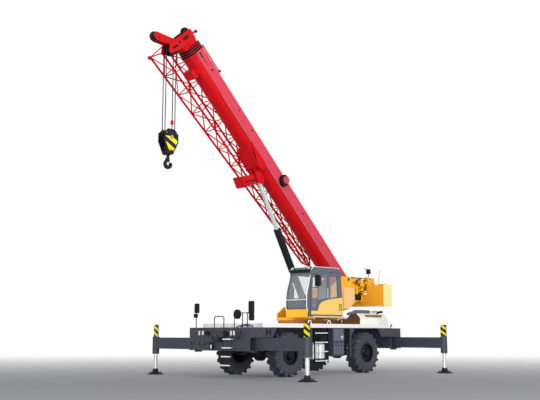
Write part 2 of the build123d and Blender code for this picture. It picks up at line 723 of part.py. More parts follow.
with BuildPart() as cab_glass:
    # Curved windscreen cut from a thin shell that follows the cab's front
    half_screen = (cab_outer - cab_inner - 150) / 2
    cab_solid(cab_middle + half_screen, cab_middle - half_screen, inset=12)
    cab_solid(cab_middle + half_screen, cab_middle - half_screen, inset=12 + glass_thickness, mode=Mode.SUBTRACT)
    with Locations((cab_front, cab_middle, (screen_low + cab_roof - 170) / 2)):
        Box(500, 2 * half_screen, cab_roof - 170 - screen_low, mode=Mode.INTERSECT)
    y = cab_outer - cab_wall / 2
    side_plate(rear_window, y, y - glass_thickness)
    side_plate(inner_window, cab_inner + cab_wall / 2 + glass_thickness, cab_inner + cab_wall / 2)
    slope = 130 / (cab_roof - 90 - cab_floor)
    low, high = 2750, 3510
    rear_low = cab_rear + slope * (low - cab_floor) + 15
    rear_high = cab_rear + slope * (high - cab_floor) + 15
    side_plate([(rear_low, low), (rear_low + glass_thickness, low), (rear_high + glass_thickness, high),
                (rear_high, high)], cab_middle + half_screen - 55, cab_middle - half_screen + 55)
    block((210, 730), (cab_inner + 110, cab_outer - 110), (cab_roof - 25, cab_roof - 25 + glass_thickness))
save(cab_glass, "cab_glass")

# Yellow skirt panels round the cab's lower part, proud of its shell
sill_edge = [(725, 2240), (645, 2440), (515, 2550), (145, 2650)]
with BuildPart() as cab_skirt:
    y = cab_outer + skirt_thickness
    side_plate([(cab_rear + 8, door_low + 3), (door_rear - 10, door_low + 3), (door_rear - 10, 2655),
                (cab_rear + 46, 2740)], y - 5, cab_outer)
    with BuildSketch(Plane.YZ.offset(cab_front + 85)) as nose:
        with Locations((cab_middle, (cab_floor + 2290) / 2)):
            Rectangle(cab_outer - cab_inner, 2290 - cab_floor)
    extrude(nose.sketch, amount=skirt_thickness)
    block((cab_front - 20, cab_front + 85), (cab_inner, cab_outer), (cab_floor - 20, cab_floor))
    block((cab_front + 75, cab_front + 85), (cab_inner, cab_outer), (cab_floor - 20, cab_floor + 5))
    block((cab_rear + 40, cab_front - 20), (cab_outer - 60, cab_outer), (cab_floor - 20, cab_floor))
save(cab_skirt, "cab_skirt")

seat_x = -50.0
with BuildPart() as cab_interior:
    floor = cab_floor + cab_wall
    block((seat_x - 150, seat_x + 200), (cab_middle - 170, cab_middle + 170), (floor, floor + 330))
    block((seat_x - 260, seat_x + 260), (cab_middle - 240, cab_middle + 240), (floor + 330, floor + 450))
    side_plate([(seat_x - 260, floor + 450), (seat_x - 130, floor + 450), (seat_x - 250, floor + 1130),
                (seat_x - 360, floor + 1130)], cab_middle + 235, cab_middle - 235)
    block((820, 1040), (cab_middle - 180, cab_middle + 180), (floor, floor + 560))
save(cab_interior, "cab_interior")

door_inner = cab_outer + door_gap
door_window = [(door_rear + 110, 2700), (760, 2600), (820, 2330), (door_front - 75, 2330), (door_front - 75, 2900),
               (door_front - 110, door_high - 75), (door_rear + 110, door_high - 75)]
with BuildPart() as cab_door:
    side_plate([(door_rear, door_low), (door_front, door_low), (door_front, door_high), (door_rear, door_high)],
               door_inner + door_thickness, door_inner)
    side_window(door_window, door_inner + door_thickness + 1, door_inner - 1)
save(cab_door, "cab_door")

with BuildPart() as door_glass:
    side_plate(door_window, door_inner + door_thickness / 2 + glass_thickness / 2,
               door_inner + door_thickness / 2 - glass_thickness / 2)
save(door_glass, "door_glass")

door_face = door_inner + door_thickness
with BuildPart() as door_panel:
    side_plate([(door_rear + 3, door_low + 3), (door_front - 3, door_low + 3), (door_front - 3, 2240)] + sill_edge
               + [(door_rear + 3, 2660)], door_face + 4, door_face)
save(door_panel, "door_panel")


def boom_profile(width, top, bottom, corner):
    """Boom cross-section: flat sides, square-ish top, well rounded underside."""
    with Locations((0, (top + bottom) / 2)):
        shape = Rectangle(width, top - bottom)
    low = shape.vertices().sort_by(Axis.Y)[:2]
    high = shape.vertices().sort_by(Axis.Y)[2:]
    fillet(low, radius=corner)
    fillet(high, radius=15)


def tube_section(start, end, step, collar_start, name, extra=None):
    """One telescoping section: a thin-walled tube with a collar at its front end."""
    inset = step * (boom_wall + section_gap)
    width = boom_width - 2 * inset
    top = boom_top - inset
    bottom = boom_bottom + inset
    corner = boom_corner - inset
    with BuildPart() as section:
        with BuildSketch(boom_station(start)) as outside:
            boom_profile(width, top, bottom, corner)
        extrude(outside.sketch, amount=end - start)
        if step:
            pad = section_gap - running_gap
            with BuildSketch(boom_station(start)) as pads:
                boom_profile(width + 2 * pad, top + pad, bottom - pad, corner + pad)
            extrude(pads.sketch, amount=tail_pad)
        rise = collar_rise if step == 0 else 0
        with BuildSketch(boom_station(collar_start)) as collar:
            boom_profile(boom_width + 2 * rise, boom_top + rise, boom_bottom - rise, boom_corner + rise)
        extrude(collar.sketch, amount=collar_length)
        with BuildSketch(boom_station(start)) as inside:
            boom_profile(width - 2 * boom_wall, top - boom_wall, bottom + boom_wall, corner - boom_wall)
        extrude(inside.sketch, amount=max(end, collar_start + collar_length) - start, mode=Mode.SUBTRACT)
        if extra:
            extra()
    save(section, name)


def base_extras():
    """Foot boss, cylinder bracket and fairing of the base section."""
    with BuildSketch(boom_side_plane(boom_width / 2 + 60)) as tail_cut:
        with BuildLine():
            Polyline((base_start - 1, boom_bottom - 60), (420, boom_bottom - 60), (base_start - 1, -180), close=True)
        make_face()
    extrude(tail_cut.sketch, amount=boom_width + 120, mode=Mode.SUBTRACT)
    with BuildSketch(boom_side_plane(boom_width / 2 + 12)) as boss:
        Circle(150)
    extrude(boss.sketch, amount=boom_width + 24)
    with BuildSketch(boom_side_plane(tower_half_width + 25)) as pin:
        Circle(pivot_pin_radius)
    extrude(pin.sketch, amount=2 * (tower_half_width + 25))
    # Bracket of the lift cylinder: two cheeks under the belly and a wing up each side
    cheek = [(6500, boom_bottom + 8), (6125, -700), (5720, -905), (5590, -905), (5440, -800), (5400, -700),
             (5560, boom_bottom + 8)]
    inner = rod_eye_width / 2 + 8
    for y in (inner + 35, -inner):
        boom_plate(cheek, y, y - 35)
    wing = [(7010, seam_off), (6125, -700), (5970, -660), (5900, seam_off)]
    for y in (boom_width / 2 + wing_thickness, -boom_width / 2 + 1):
        boom_plate(wing, y, y - wing_thickness - 1)
    boom_plate([(6900, boom_bottom + 4), (6125, -700), (6125, -674), (6800, boom_bottom + 8)], boom_width / 2 + 10,
               -boom_width / 2 - 10)
    boom_plate([(6125, -700), (5970, -660), (5970, -634), (6125, -674)], boom_width / 2 + 10, -boom_width / 2 - 10)
    with BuildSketch(Plane(origin=boom_point(rod_pin_along, rod_pin_off, inner + 45), x_dir=boom_axis,
                           z_dir=(0, -1, 0))) as rod_pin:
        Circle(rod_pin_radius)
    extrude(rod_pin.sketch, amount=2 * (inner + 45))
    # Seam strips where the flat side plates meet the rounded lower shell
    for y in (boom_width / 2 + 5, -boom_width / 2 + 1):
        boom_plate([(base_start + 90, seam_off - 9), (base_collar, seam_off - 9), (base_collar, seam_off + 9),
                    (base_start + 90, seam_off + 9)], y, y - 6)
    # Guide rod on the left and two rope guides on the back
    for s in (9620, 10120, 10600):
        boom_plate([(s, boom_top - 2), (s + 40, boom_top - 2), (s + 40, 285), (s, 285)], 215, 185)
    bar(boom_point(9560, 270, 200), boom_point(10690, 270, 200), 22)
    for s in (3200, 6400):
        boom_plate([(s, boom_top - 2), (s + 60, boom_top - 2), (s + 45, boom_top + 90), (s + 15, boom_top + 90)],
                   130, -130)


base_collar = base_end - collar_length
tube_section(base_start, base_end, 0, base_collar, "boom_base", base_extras)
collar_pitch = collar_length + collar_gap
for step in (1, 2, 3):
    start = section_start + (step - 1) * section_stagger
    front = base_end + collar_gap + (step - 1) * collar_pitch
    tube_section(start, front + collar_length, step, front, f"boom_section_{step + 1}")

# Boom head: two side plates on the last section, with the runner arm
head_start = base_end + collar_gap + 2 * collar_pitch + collar_length
head_outline = [(head_start, 100), (11100, 155), (11400, 160), (11420, -100), (11450, -600), (11500, -950),
                (11300, -1170), (11200, -1120), (11070, -600), (head_start, -565)]
runner_outline = [(11380, -560), (11500, -640), (12040, -1080), (12060, -1230), (11930, -1290), (11800, -1240),
                  (11480, -960), (11380, -800)]
upper_sheave = (11330.0, 60.0)
runner_sheave = (11936.0, -1180.0)
with BuildPart() as boom_head:
    for y in (head_half_width, -head_half_width + head_plate):
        boom_plate(head_outline, y, y - head_plate)
    for y in (130, -100):
        boom_plate(runner_outline, y, y - 30)
    # Cross plates between the cheeks
    for low, high in ((11380, 11440), (11100, 11150)):
        boom_plate([(low, -640), (high, -640), (high, -600), (low, -600)], head_half_width, -head_half_width)
    boom_plate([(head_start, 60), (11150, 95), (11150, 65), (head_start, 30)], head_half_width, -head_half_width)
    boom_plate([(head_start, -520), (11060, -560), (11060, -590), (head_start, -550)], head_half_width,
               -head_half_width)
    for along, off, radius in ((sheave_along, sheave_off, 45), (*upper_sheave, 30)):
        bar(boom_point(along, off, -head_half_width - 15), boom_point(along, off, head_half_width + 15), radius)
        for y in (head_half_width, -head_half_width - 12):
            bar(boom_point(along, off, y), boom_point(along, off, y + 12), radius + 45)
    bar(boom_point(*runner_sheave, -150), boom_point(*runner_sheave, 150), 35)
    # Holes that the swing-out extension pins to
    for along, off in ((11290, -560), (11230, -240)):
        bar(boom_point(along, off, -head_half_width - 1), boom_point(along, off, head_half_width + 1), 42,
            mode=Mode.SUBTRACT)
save(boom_head, "boom_head")

# Cable reel on the boom's left side
with BuildPart() as cable_reel:
    face = Plane(origin=boom_point(reel_along, reel_off, boom_width / 2), x_dir=(0, 1, 0), z_dir=boom_axis)
    turned(face, [(0, 0), (0, 60), (30, 60), (30, 215), (45, 215), (45, 120), (95, 120), (95, 215), (110, 215),
                  (110, 45), (130, 45), (130, 0)])
save(cable_reel, "cable_reel")


def sheave(place, y, radius, bore, width=44.0):
    """Grooved sheave on a shaft across the boom: the groove's floor has the radius given."""
    across = Plane(origin=boom_point(*place, y), x_dir=(0, 1, 0), z_dir=boom_axis)
    half = width / 2
    rise = 22
    turned(across, [(-half, bore), (-half, radius + rise), (-half + 6, radius + rise), (-rope_radius - 1, radius),
                    (rope_radius + 1, radius), (half - 6, radius + rise), (half, radius + rise), (half, bore)])


with BuildPart() as head_sheaves:
    lower = (sheave_along, sheave_off)
    for y in (-fall_lateral, fall_lateral):
        sheave(lower, y, sheave_radius, 45 + spindle_play)
    for y in (-45, 45):
        sheave(upper_sheave, y, 130, 30 + spindle_play)
    sheave(runner_sheave, 0, 150, 35 + spindle_play)
save(head_sheaves, "head_sheaves")

# Lattice extension stowed along the right side of the boom
jib_start = 1500.0
jib_end = 11250.0
jib_bays = 12
jib_inner = -450.0


def jib_corner(along, upper, outer):
    """A corner of the tapering four-chord section at a distance along the boom."""
    top = -60 - 0.0253 * (11000 - along)
    height = 820 - 53 * (11000 - along) / 1000
    width = 650 - 48 * (11000 - along) / 1000
    return boom_point(along, top if upper else top - height, jib_inner - (width if outer else 0))


def brace(start, corner, end, other):
    """Bar between two chords, each end stated as a place along the boom and a corner."""
    square_bar(jib_corner(start, *corner), jib_corner(end, *other), 30)


upper_outer, upper_inner = (True, True), (True, False)
lower_outer, lower_inner = (False, True), (False, False)
with BuildPart() as lattice_jib:
    for upper in (True, False):
        for outer in (True, False):
            square_bar(jib_corner(jib_start, upper, outer), jib_corner(jib_end, upper, outer), 52)
    bay = (jib_end - jib_start) / jib_bays
    for number in range(jib_bays + 1):
        s = jib_start + number * bay
        for a, b in ((upper_outer, upper_inner), (upper_inner, lower_inner), (lower_inner, lower_outer),
                     (lower_outer, upper_outer)):
            brace(s, a, s, b)
            if number < jib_bays:
                near, far = (a, b) if number % 2 else (b, a)
                brace(s, near, s + bay, far)
    # Root lugs towards the boom's head and a closed tip at the other end
    for upper in (True, False):
        for outer in (True, False):
            brace(jib_end, (upper, outer), jib_end + 10, (upper, outer))
    for corner in (upper_outer, upper_inner, lower_outer, lower_inner):
        middle = (jib_corner(jib_start, *upper_outer) + jib_corner(jib_start, *lower_inner)) * 0.5
        square_bar(jib_corner(jib_start, *corner), middle - boom_axis * 330, 44)
    for s, low, high in ((6000, -280, -165), (10000, -280, -70)):
        boom_plate([(s - 60, low), (s + 60, low), (s + 60, high), (s - 60, high)], -boom_width / 2, jib_inner)
        boom_plate([(s - 40, -620), (s + 40, -620), (s + 40, high), (s - 40, high)], jib_inner + 24, jib_inner - 10)
save(lattice_jib, "lattice_jib")

# Lift cylinder between the turntable ears and the boom's bracket
rod_pin_point = boom_point(rod_pin_along, rod_pin_off)
foot_point = Vector(cylinder_foot_x, 0, cylinder_foot_z)
cylinder_run = rod_pin_point - foot_point
cylinder_length = cylinder_run.length
cylinder_axis = cylinder_run.normalized()
with BuildPart() as lift_barrel:
    bar(foot_point, foot_point + cylinder_axis * barrel_length, barrel_radius)
    with BuildSketch(Plane(origin=foot_point + Vector(0, ear_gap / 2 - 8, 0), x_dir=(1, 0, 0), z_dir=(0, -1, 0))) as eye:
        Circle(barrel_eye_radius)
    extrude(eye.sketch, amount=ear_gap - 16)
    bar(foot_point + cylinder_axis * 200, foot_point + cylinder_axis * barrel_length, barrel_radius - barrel_wall,
        mode=Mode.SUBTRACT)
    gland = Plane(origin=foot_point + cylinder_axis * (barrel_length - 120), z_dir=cylinder_axis)
    with BuildSketch(gland) as gland_ring:
        Circle(barrel_radius)
        Circle(rod_radius + running_gap, mode=Mode.SUBTRACT)
    extrude(gland_ring.sketch, amount=120)
save(lift_barrel, "lift_barrel")

with BuildPart() as lift_rod:
    bar(rod_pin_point, rod_pin_point - cylinder_axis * rod_length, rod_radius)
    eye_plane = Plane(origin=rod_pin_point + Vector(0, rod_eye_width / 2, 0), x_dir=(1, 0, 0), z_dir=(0, -1, 0))
    with BuildSketch(eye_plane) as rod_eye:
        Circle(rod_eye_radius)
    extrude(rod_eye.sketch, amount=rod_eye_width)
    with BuildSketch(eye_plane) as rod_bore:
        Circle(rod_pin_radius + 0.08)
    extrude(rod_bore.sketch, amount=rod_eye_width, mode=Mode.SUBTRACT)
save(lift_rod, "lift_rod")

# Load gear hanging plumb from the lower sheaves
sheave_centre = boom_point(sheave_along, sheave_off)
fall_offset = sheave_radius + rope_radius + running_gap
block_centre = Vector(sheave_centre.X, 0, sheave_centre.Z - block_drop)
with BuildPart() as hoist_ropes:
    for x in (-fall_offset, fall_offset):
        for y in (-fall_lateral, fall_lateral):
            top = (sheave_centre.X + x, y, sheave_centre.Z)
            low = (sheave_centre.X + x, y, block_centre.Z)
            bar(low, top, rope_radius)
save(hoist_ropes, "hoist_ropes")

with BuildPart() as hook_block:
    x, z = block_centre.X, block_centre.Z
    outline = [(x - 130, z + 270), (x + 130, z + 270), (x + 290, z + 120), (x + 290, z - 150), (x + 110, z - 520),
               (x - 110, z - 520), (x - 290, z - 150), (x - 290, z + 120)]
    for y in (165, -165 + block_cheek):
        side_plate(outline, y, y - block_cheek)
        with BuildSketch(side_plane(y)) as cheek_cut:
            with Locations((x, z - 300)):
                Circle(45)
        extrude(cheek_cut.sketch, amount=block_cheek, mode=Mode.SUBTRACT)
    bar((x, -175, z), (x, 175, z), 40)
    across = Plane(origin=block_centre, x_dir=(0, 1, 0), z_dir=(1, 0, 0))
    for y in (-fall_lateral, fall_lateral):
        low, high = y - 22, y + 22
        turned(across, [(low, 0), (low, sheave_radius + 22), (low + 6, sheave_radius + 22),
                        (y - rope_radius - 1, sheave_radius), (y + rope_radius + 1, sheave_radius),
                        (high - 6, sheave_radius + 22), (high, sheave_radius + 22), (high, 0)])
    turned(across, [(-fall_lateral, 0), (-fall_lateral, 70), (fall_lateral, 70), (fall_lateral, 0)])
    block((x - 105, x + 105), (-165, 165), (z - 560, z - 430))
save(hook_block, "hook_block")

hook_top = block_centre.Z - 560 - running_gap
hook_x = block_centre.X
bowl_z = hook_top - 300
bowl_radius = 72.0
with BuildPart() as hook:
    bar((hook_x, 0, hook_top), (hook_x, 0, hook_top - 150), 52)
    # Bowl and point: a thick crescent, heaviest at the bottom
    with BuildSketch(side_plane(46)) as crescent:
        with Locations((hook_x, bowl_z - 18)):
            Circle(bowl_radius + 88)
        with Locations((hook_x, bowl_z)):
            Circle(bowl_radius, mode=Mode.SUBTRACT)
        with Locations((hook_x - 125, bowl_z + 125)):
            Rectangle(250, 190, mode=Mode.SUBTRACT)
        with Locations((hook_x + 20, bowl_z + 120)):
            Rectangle(112, 130)
    extrude(crescent.sketch, amount=92)
    fillet(hook.edges().filter_by(GeomType.CIRCLE).group_by(SortBy.LENGTH)[-1], radius=16)
    # Safety latch across the throat
    square_bar((hook_x - 8, 0, bowl_z + 95), (hook_x - 128, 0, bowl_z + 22), 18)
save(hook, "hook")
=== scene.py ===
import bmesh
import bpy
import json
from bpy.props import FloatProperty, FloatVectorProperty, PointerProperty, StringProperty
from functools import partial
from math import cos, pi, radians, sin
from mathutils import Matrix, Vector


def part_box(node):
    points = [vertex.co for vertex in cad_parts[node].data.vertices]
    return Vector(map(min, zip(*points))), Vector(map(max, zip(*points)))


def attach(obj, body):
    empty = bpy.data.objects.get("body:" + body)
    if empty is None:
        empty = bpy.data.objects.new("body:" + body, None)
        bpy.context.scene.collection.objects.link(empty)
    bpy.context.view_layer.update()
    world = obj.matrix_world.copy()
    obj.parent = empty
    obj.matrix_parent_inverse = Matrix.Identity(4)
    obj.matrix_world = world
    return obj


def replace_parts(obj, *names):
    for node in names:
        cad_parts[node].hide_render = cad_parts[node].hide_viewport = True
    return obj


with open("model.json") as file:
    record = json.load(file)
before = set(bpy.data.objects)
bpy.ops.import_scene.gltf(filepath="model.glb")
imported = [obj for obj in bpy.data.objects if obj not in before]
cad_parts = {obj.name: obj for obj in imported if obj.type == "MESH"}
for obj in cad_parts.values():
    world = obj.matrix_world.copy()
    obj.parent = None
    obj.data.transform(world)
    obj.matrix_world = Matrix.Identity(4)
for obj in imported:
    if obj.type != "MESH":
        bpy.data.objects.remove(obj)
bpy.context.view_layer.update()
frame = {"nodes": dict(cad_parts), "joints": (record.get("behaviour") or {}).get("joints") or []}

bl_info = {
    "name": "Rough terrain crane",
    "version": (1, 0, 0),
    "blender": (4, 5, 0),
    "location": "View3D > Sidebar > Crane",
    "description": "Finishes and small pieces for a two-axle crane on its outriggers",
    "category": "Object",
}

WHEELS = ("front_left", "front_right", "rear_left", "rear_right")
IMAGE_WIDTH = 540
FOCAL_PIXELS = 821
SENSOR_MM = 36.0
# Name, place, size in metres and power in watts of each studio lamp, and the point that all of them face
LAMPS = (("key lamp", (4, 28, 17), 12, 4600), ("side lamp", (28, 2, 14), 12, 2300),
         ("fill lamp", (20, 18, 2.5), 8, 2500))
LAMP_TARGET = Vector((1, 0, 4))
FLOOR_FADE_M = (22, 62)
ROPE_SWELL_M = 0.004
CAB_LEFT = 1.452
# Places along the boom, square to it and to its left, measured from the luffing pivot
BOOM_SIDE = 0.329
SEAM_HEIGHT = -0.335
# Where the painted highlight on the boom's upper plate ends
SHEEN_END = 10.7
COLLAR_START = 10.66
COLLAR_PITCH = 0.08
COLLAR_SPAN = 1.75
HOOD_FRONT = -2.3


class CraneSettings(bpy.types.PropertyGroup):
    """Colours and sizes that a user would change."""
    boom_paint: StringProperty(name="Boom paint", description="Enamel of the boom", default="#C90914")
    # Painted highlight: paler red painted on the boom's flat upper plates, where they catch the light
    boom_painted_sheen: StringProperty(name="Boom plate", description="Paler red painted on the boom's flat upper plates as a painted highlight", default="#D04556")
    body_paint: StringProperty(name="Body paint", description="Enamel of cab and turntable", default="#FDBD27")
    frame_paint: StringProperty(name="Frame paint", description="Satin paint of the carrier", default="#3C3F4C")
    deck_paint: StringProperty(name="Deck paint", description="Paint of the deck band and hood", default="#F2F2EE")
    floor_colour: StringProperty(name="Floor", description="Colour of the plain floor", default="#86878C")
    camera_place: FloatVectorProperty(name="Camera place", description="Where the camera stands", unit="LENGTH",
                                      default=(22.78, 20.55, 1.476))
    camera_heading: FloatProperty(name="Camera heading", description="Turn of the view from +X", subtype="ANGLE",
                                  default=radians(180 + 44.137))
    camera_lift: FloatProperty(name="Camera lift", description="Rise of the view above level", subtype="ANGLE",
                               default=radians(9.19))


def settings():
    """The scene's settings of this object."""
    return bpy.context.scene.crane


def linear(hex_colour):
    """An sRGB hex colour as linear, opaque RGBA."""
    channels = [int(hex_colour[i:i + 2], 16) / 255 for i in (1, 3, 5)]
    return [c / 12.92 if c <= 0.04045 else ((c + 0.055) / 1.055) ** 2.4 for c in channels] + [1.0]


def add_node(tree, kind, links=(), numbers=(), **values):
    """Add a shader node, set its properties and inputs, also those given by number, and link sockets into it."""
    node = tree.nodes.new(kind)
    for name, value in values.items():
        if hasattr(node, name):
            setattr(node, name, value)
        else:
            node.inputs[name.replace("_", " ")].default_value = value
    for place, value in numbers:
        node.inputs[place].default_value = value
    for place, socket in links:
        tree.links.new(socket, node.inputs[place])
    return node


def finish(name, hex_colour, **values):
    """A material with one principled surface."""
    material = bpy.data.materials.get(name)
    if material:
        return material
    material = bpy.data.materials.new(name)
    material.use_nodes = True
    surface = material.node_tree.nodes["Principled BSDF"]
    surface.inputs["Base Color"].default_value = linear(hex_colour)
    for key, value in values.items():
        surface.inputs[key.replace("_", " ")].default_value = value
    return material


def grained(material, size_mm, strength, distance_mm):
    """Give a finish a fine random relief, drawn as coarse as shows at this distance."""
    tree = material.node_tree
    place = add_node(tree, "ShaderNodeTexCoord")
    noise = add_node(tree, "ShaderNodeTexNoise", [("Vector", place.outputs["Object"])], Scale=1000 / size_mm, Detail=3)
    bump = add_node(tree, "ShaderNodeBump", [("Height", noise.outputs["Fac"])], Strength=strength,
                    Distance=distance_mm / 1000)
    tree.links.new(bump.outputs["Normal"], tree.nodes["Principled BSDF"].inputs["Normal"])
    return material


def plain_red():
    """Sprayed enamel of the boom head and the lattice: a clean red with a soft shine."""
    return finish("red enamel", settings().boom_paint, Roughness=0.45, Specular_IOR_Level=0.15)


def share_along(tree, coordinate, direction):
    """Socket that gives how much of a texture coordinate lies along a direction."""
    place = add_node(tree, "ShaderNodeTexCoord")
    return add_node(tree, "ShaderNodeVectorMath", [(0, place.outputs[coordinate])], [(1, direction)],
                    operation="DOT_PRODUCT").outputs["Value"]


def position_along(tree, direction, origin):
    """Socket that gives how far a point lies from an origin along a direction, in metres."""
    return add_node(tree, "ShaderNodeMath", [(0, share_along(tree, "Object", direction))],
                    [(1, origin.dot(direction))], operation="SUBTRACT").outputs[0]


def masked(tree, mask, base, other):
    """Mix two colours by a mask socket; a colour is a socket or a hex value."""
    mix = add_node(tree, "ShaderNodeMix", [(0, mask)], data_type="RGBA")
    for socket, colour in ((mix.inputs[6], base), (mix.inputs[7], other)):
        if isinstance(colour, str):
            socket.default_value = linear(colour)
        else:
            tree.links.new(colour, socket)
    return mix.outputs[2]


def boom_enamel():
    """Boom enamel: clean red below the seam, a paler red painted above it on the flat plate as a painted highlight,
    dark collars at the tip.
    """
    material = finish("boom enamel", settings().boom_paint, Roughness=0.45, Specular_IOR_Level=0.15)
    tree = material.node_tree
    if "seam" in tree.nodes:
        return material
    place = boom_frame()
    pivot, along, square = place.translation, place.col[0].xyz, place.col[2].xyz
    above = add_node(tree, "ShaderNodeMath", [(0, position_along(tree, square, pivot))], [(1, SEAM_HEIGHT)],
                     operation="GREATER_THAN", name="seam")
    reach = position_along(tree, along, pivot)
    behind = add_node(tree, "ShaderNodeMath", [(0, reach)], [(1, SHEEN_END)], operation="LESS_THAN")
    # Mask of the painted highlight: above the seam and short of the tip
    plate = add_node(tree, "ShaderNodeMath", [(0, above.outputs[0]), (1, behind.outputs[0])], operation="MULTIPLY")
    red = masked(tree, plate.outputs[0], settings().boom_paint, settings().boom_painted_sheen)
    scaled = add_node(tree, "ShaderNodeMath", [(0, reach)], [(1, 1 / COLLAR_PITCH), (2, -COLLAR_START / COLLAR_PITCH)],
                      operation="MULTIPLY_ADD")
    part = add_node(tree, "ShaderNodeMath", [(0, scaled.outputs[0])], operation="FRACT")
    band = add_node(tree, "ShaderNodeMath", [(0, part.outputs[0])], [(1, 0.22)], operation="GREATER_THAN")
    near = add_node(tree, "ShaderNodeMath", [(0, scaled.outputs[0])], [(1, COLLAR_SPAN), (2, COLLAR_SPAN)],
                    operation="COMPARE")
    both = add_node(tree, "ShaderNodeMath", [(0, band.outputs[0]), (1, near.outputs[0])], operation="MULTIPLY")
    tree.links.new(masked(tree, both.outputs[0], red, "#15181C"), tree.nodes["Principled BSDF"].inputs["Base Color"])
    return material


def hood_coat():
    """Hood paint: off-white on top, brown on its front face as painted shade and a painted orange reflection."""
    material = finish("hood coat", settings().deck_paint, Roughness=0.45)
    tree = material.node_tree
    if "front" in tree.nodes:
        return material
    reach = share_along(tree, "Object", (1, 0, 0))
    front = add_node(tree, "ShaderNodeMath", [(0, reach)], [(1, HOOD_FRONT)], operation="GREATER_THAN", name="front")
    colour = masked(tree, front.outputs[0], settings().deck_paint, "#6A4B2E")
    tree.links.new(colour, tree.nodes["Principled BSDF"].inputs["Base Color"])
    return material


# Brown painted on the louvres as painted shade: they lie in the hood's shade
louvre_brown = partial(finish, "louvre brown", "#8A6A48", Roughness=0.55)
# Body yellow painted darker, orange-brown, on the slewing ring and its gear: painted shade under the cab
ring_painted_shade = partial(finish, "ring painted shade", "#C8742C", Roughness=0.5)


def body_enamel():
    """Sprayed gloss enamel: warm yellow of the cab and turntable."""
    return finish("body enamel", settings().body_paint, Roughness=0.38, Coat_Weight=0.25, Coat_Roughness=0.1)


def frame_coat():
    """Satin chassis paint on rolled plate: dark blue-grey with a soft sheen."""
    return finish("frame coat", settings().frame_paint, Roughness=0.48)


def deck_coat():
    """Satin off-white paint on the deck band and hood."""
    return finish("deck coat", settings().deck_paint, Roughness=0.45)


def side_lit(name, front, side):
    """Body enamel with a paler colour painted on the faces to the left: a painted highlight for the key lamp, which
    strikes them squarely.
    """
    material = finish(name, front, Roughness=0.38, Coat_Weight=0.25, Coat_Roughness=0.1)
    tree = material.node_tree
    if "side" in tree.nodes:
        return material
    turn = share_along(tree, "Normal", (0, 1, 0))
    lit = add_node(tree, "ShaderNodeMath", [(0, turn)], [(1, 0.8)], operation="GREATER_THAN", name="side")
    tree.links.new(masked(tree, lit.outputs[0], front, side), tree.nodes["Principled BSDF"].inputs["Base Color"])
    return material


def weight_enamel():
    """Counterweight enamel: orange-yellow in front, pale on the left as a painted highlight."""
    return side_lit("weight enamel", "#F8AB22", "#FFF09A")


def cab_enamel():
    """Cab enamel: warm yellow in front, paler on the left as a painted highlight."""
    return side_lit("cab enamel", "#FBC022", "#FDD068")


# Dark red painted along the folded seam of the boom: painted shade in the seam
seam_painted_shade = partial(finish, "seam painted shade", "#8E0510", Roughness=0.5)
# Pale red painted on the plate edge above the seam: a painted highlight where the edge catches the light
edge_painted_highlight = partial(finish, "edge painted highlight", "#F3A3AC", Roughness=0.5)
# Semi-matt black paint of axles, brackets and small fittings
black_coat = partial(finish, "black coat", "#141519", Roughness=0.5, Specular_IOR_Level=0.25)
# Grey moulded panels of the cab
dark_panel = partial(finish, "dark panel", "#626572", Roughness=0.45)


def tyre_rubber():
    """Cured tyre rubber: matt, slightly grey from its ground sides."""
    return grained(finish("tyre rubber", "#42454F", Roughness=0.8, Specular_IOR_Level=0.35), 8, 0.15, 1)


# Ground and plated piston rod: bright and cool
hard_chrome = partial(finish, "hard chrome", "#EDEFF3", Metallic=0.55, Roughness=0.25)
# Extruded aluminium of the tanks
mill_aluminium = partial(finish, "mill aluminium", "#F1F2F4", Metallic=0.5, Roughness=0.3)
# Pale raised-grip aluminium of the step bars
step_metal = partial(finish, "step metal", "#F4F5F7", Metallic=0.2, Roughness=0.4)
# Greased steel wire rope: dark and dull
wire_rope = partial(finish, "wire rope", "#17171A", Metallic=0.2, Roughness=0.6)
# Clear safety glass: thin and smooth, so that it shows the seat and the sky behind
cab_glass_tint = partial(finish, "cab glass tint", "#D5E0EA", Roughness=0.03, Alpha=0.14)
# Woven grey seat cover and moulded grey trim
seat_cloth = partial(finish, "seat cloth", "#8B8D96", Roughness=0.85)
# Gloss white powder coat of guard bars and rails
white_coat = partial(finish, "white powder coat", "#F4F4F2", Roughness=0.35)
# Clear moulded lamp lens, pale grey with a sharp shine
lamp_lens = partial(finish, "lamp lens", "#D9DCE0", Roughness=0.12, Coat_Weight=0.6)
# Moulded amber lens of the turn lamps
amber_lens = partial(finish, "amber lens", "#E07A1A", Roughness=0.15, Coat_Weight=0.6)
# Moulded red lens of the tail lamps
red_lens = partial(finish, "red lens", "#B5161A", Roughness=0.15, Coat_Weight=0.6)
# Extruded hydraulic hose: black and slightly shiny
hose_rubber = partial(finish, "hose rubber", "#161618", Roughness=0.42)
# Yellow-passivated bolt heads
brass_steel = partial(finish, "yellow passivated steel", "#B98A3C", Metallic=0.8, Roughness=0.4)
# Zinc-plated bolts and fittings: pale and a little warm
zinc_steel = partial(finish, "zinc plated steel", "#C9C4B4", Metallic=1.0, Roughness=0.35)
# Blued steel of the large pivot pins
pin_steel = partial(finish, "pin steel", "#3F506A", Roughness=0.35, Metallic=0.6)
# Moulded blue seal ring on the jack rods
seal_blue = partial(finish, "blue seal", "#5FA8C4", Roughness=0.4)
# Grey-blue coated sheet of the exhaust and its shield
slate_plate = partial(finish, "slate plate", "#5C6473", Roughness=0.5)
# Body enamel of the outer side plate, painted paler and peach: a painted highlight where the plate catches the light
side_plate_painted_highlight = partial(finish, "pale plate", "#FBD08A", Roughness=0.4)
# Thick roof pane, green at its edge
roof_glass = partial(finish, "roof glass", "#5DB07C", Roughness=0.06, Coat_Weight=0.5)


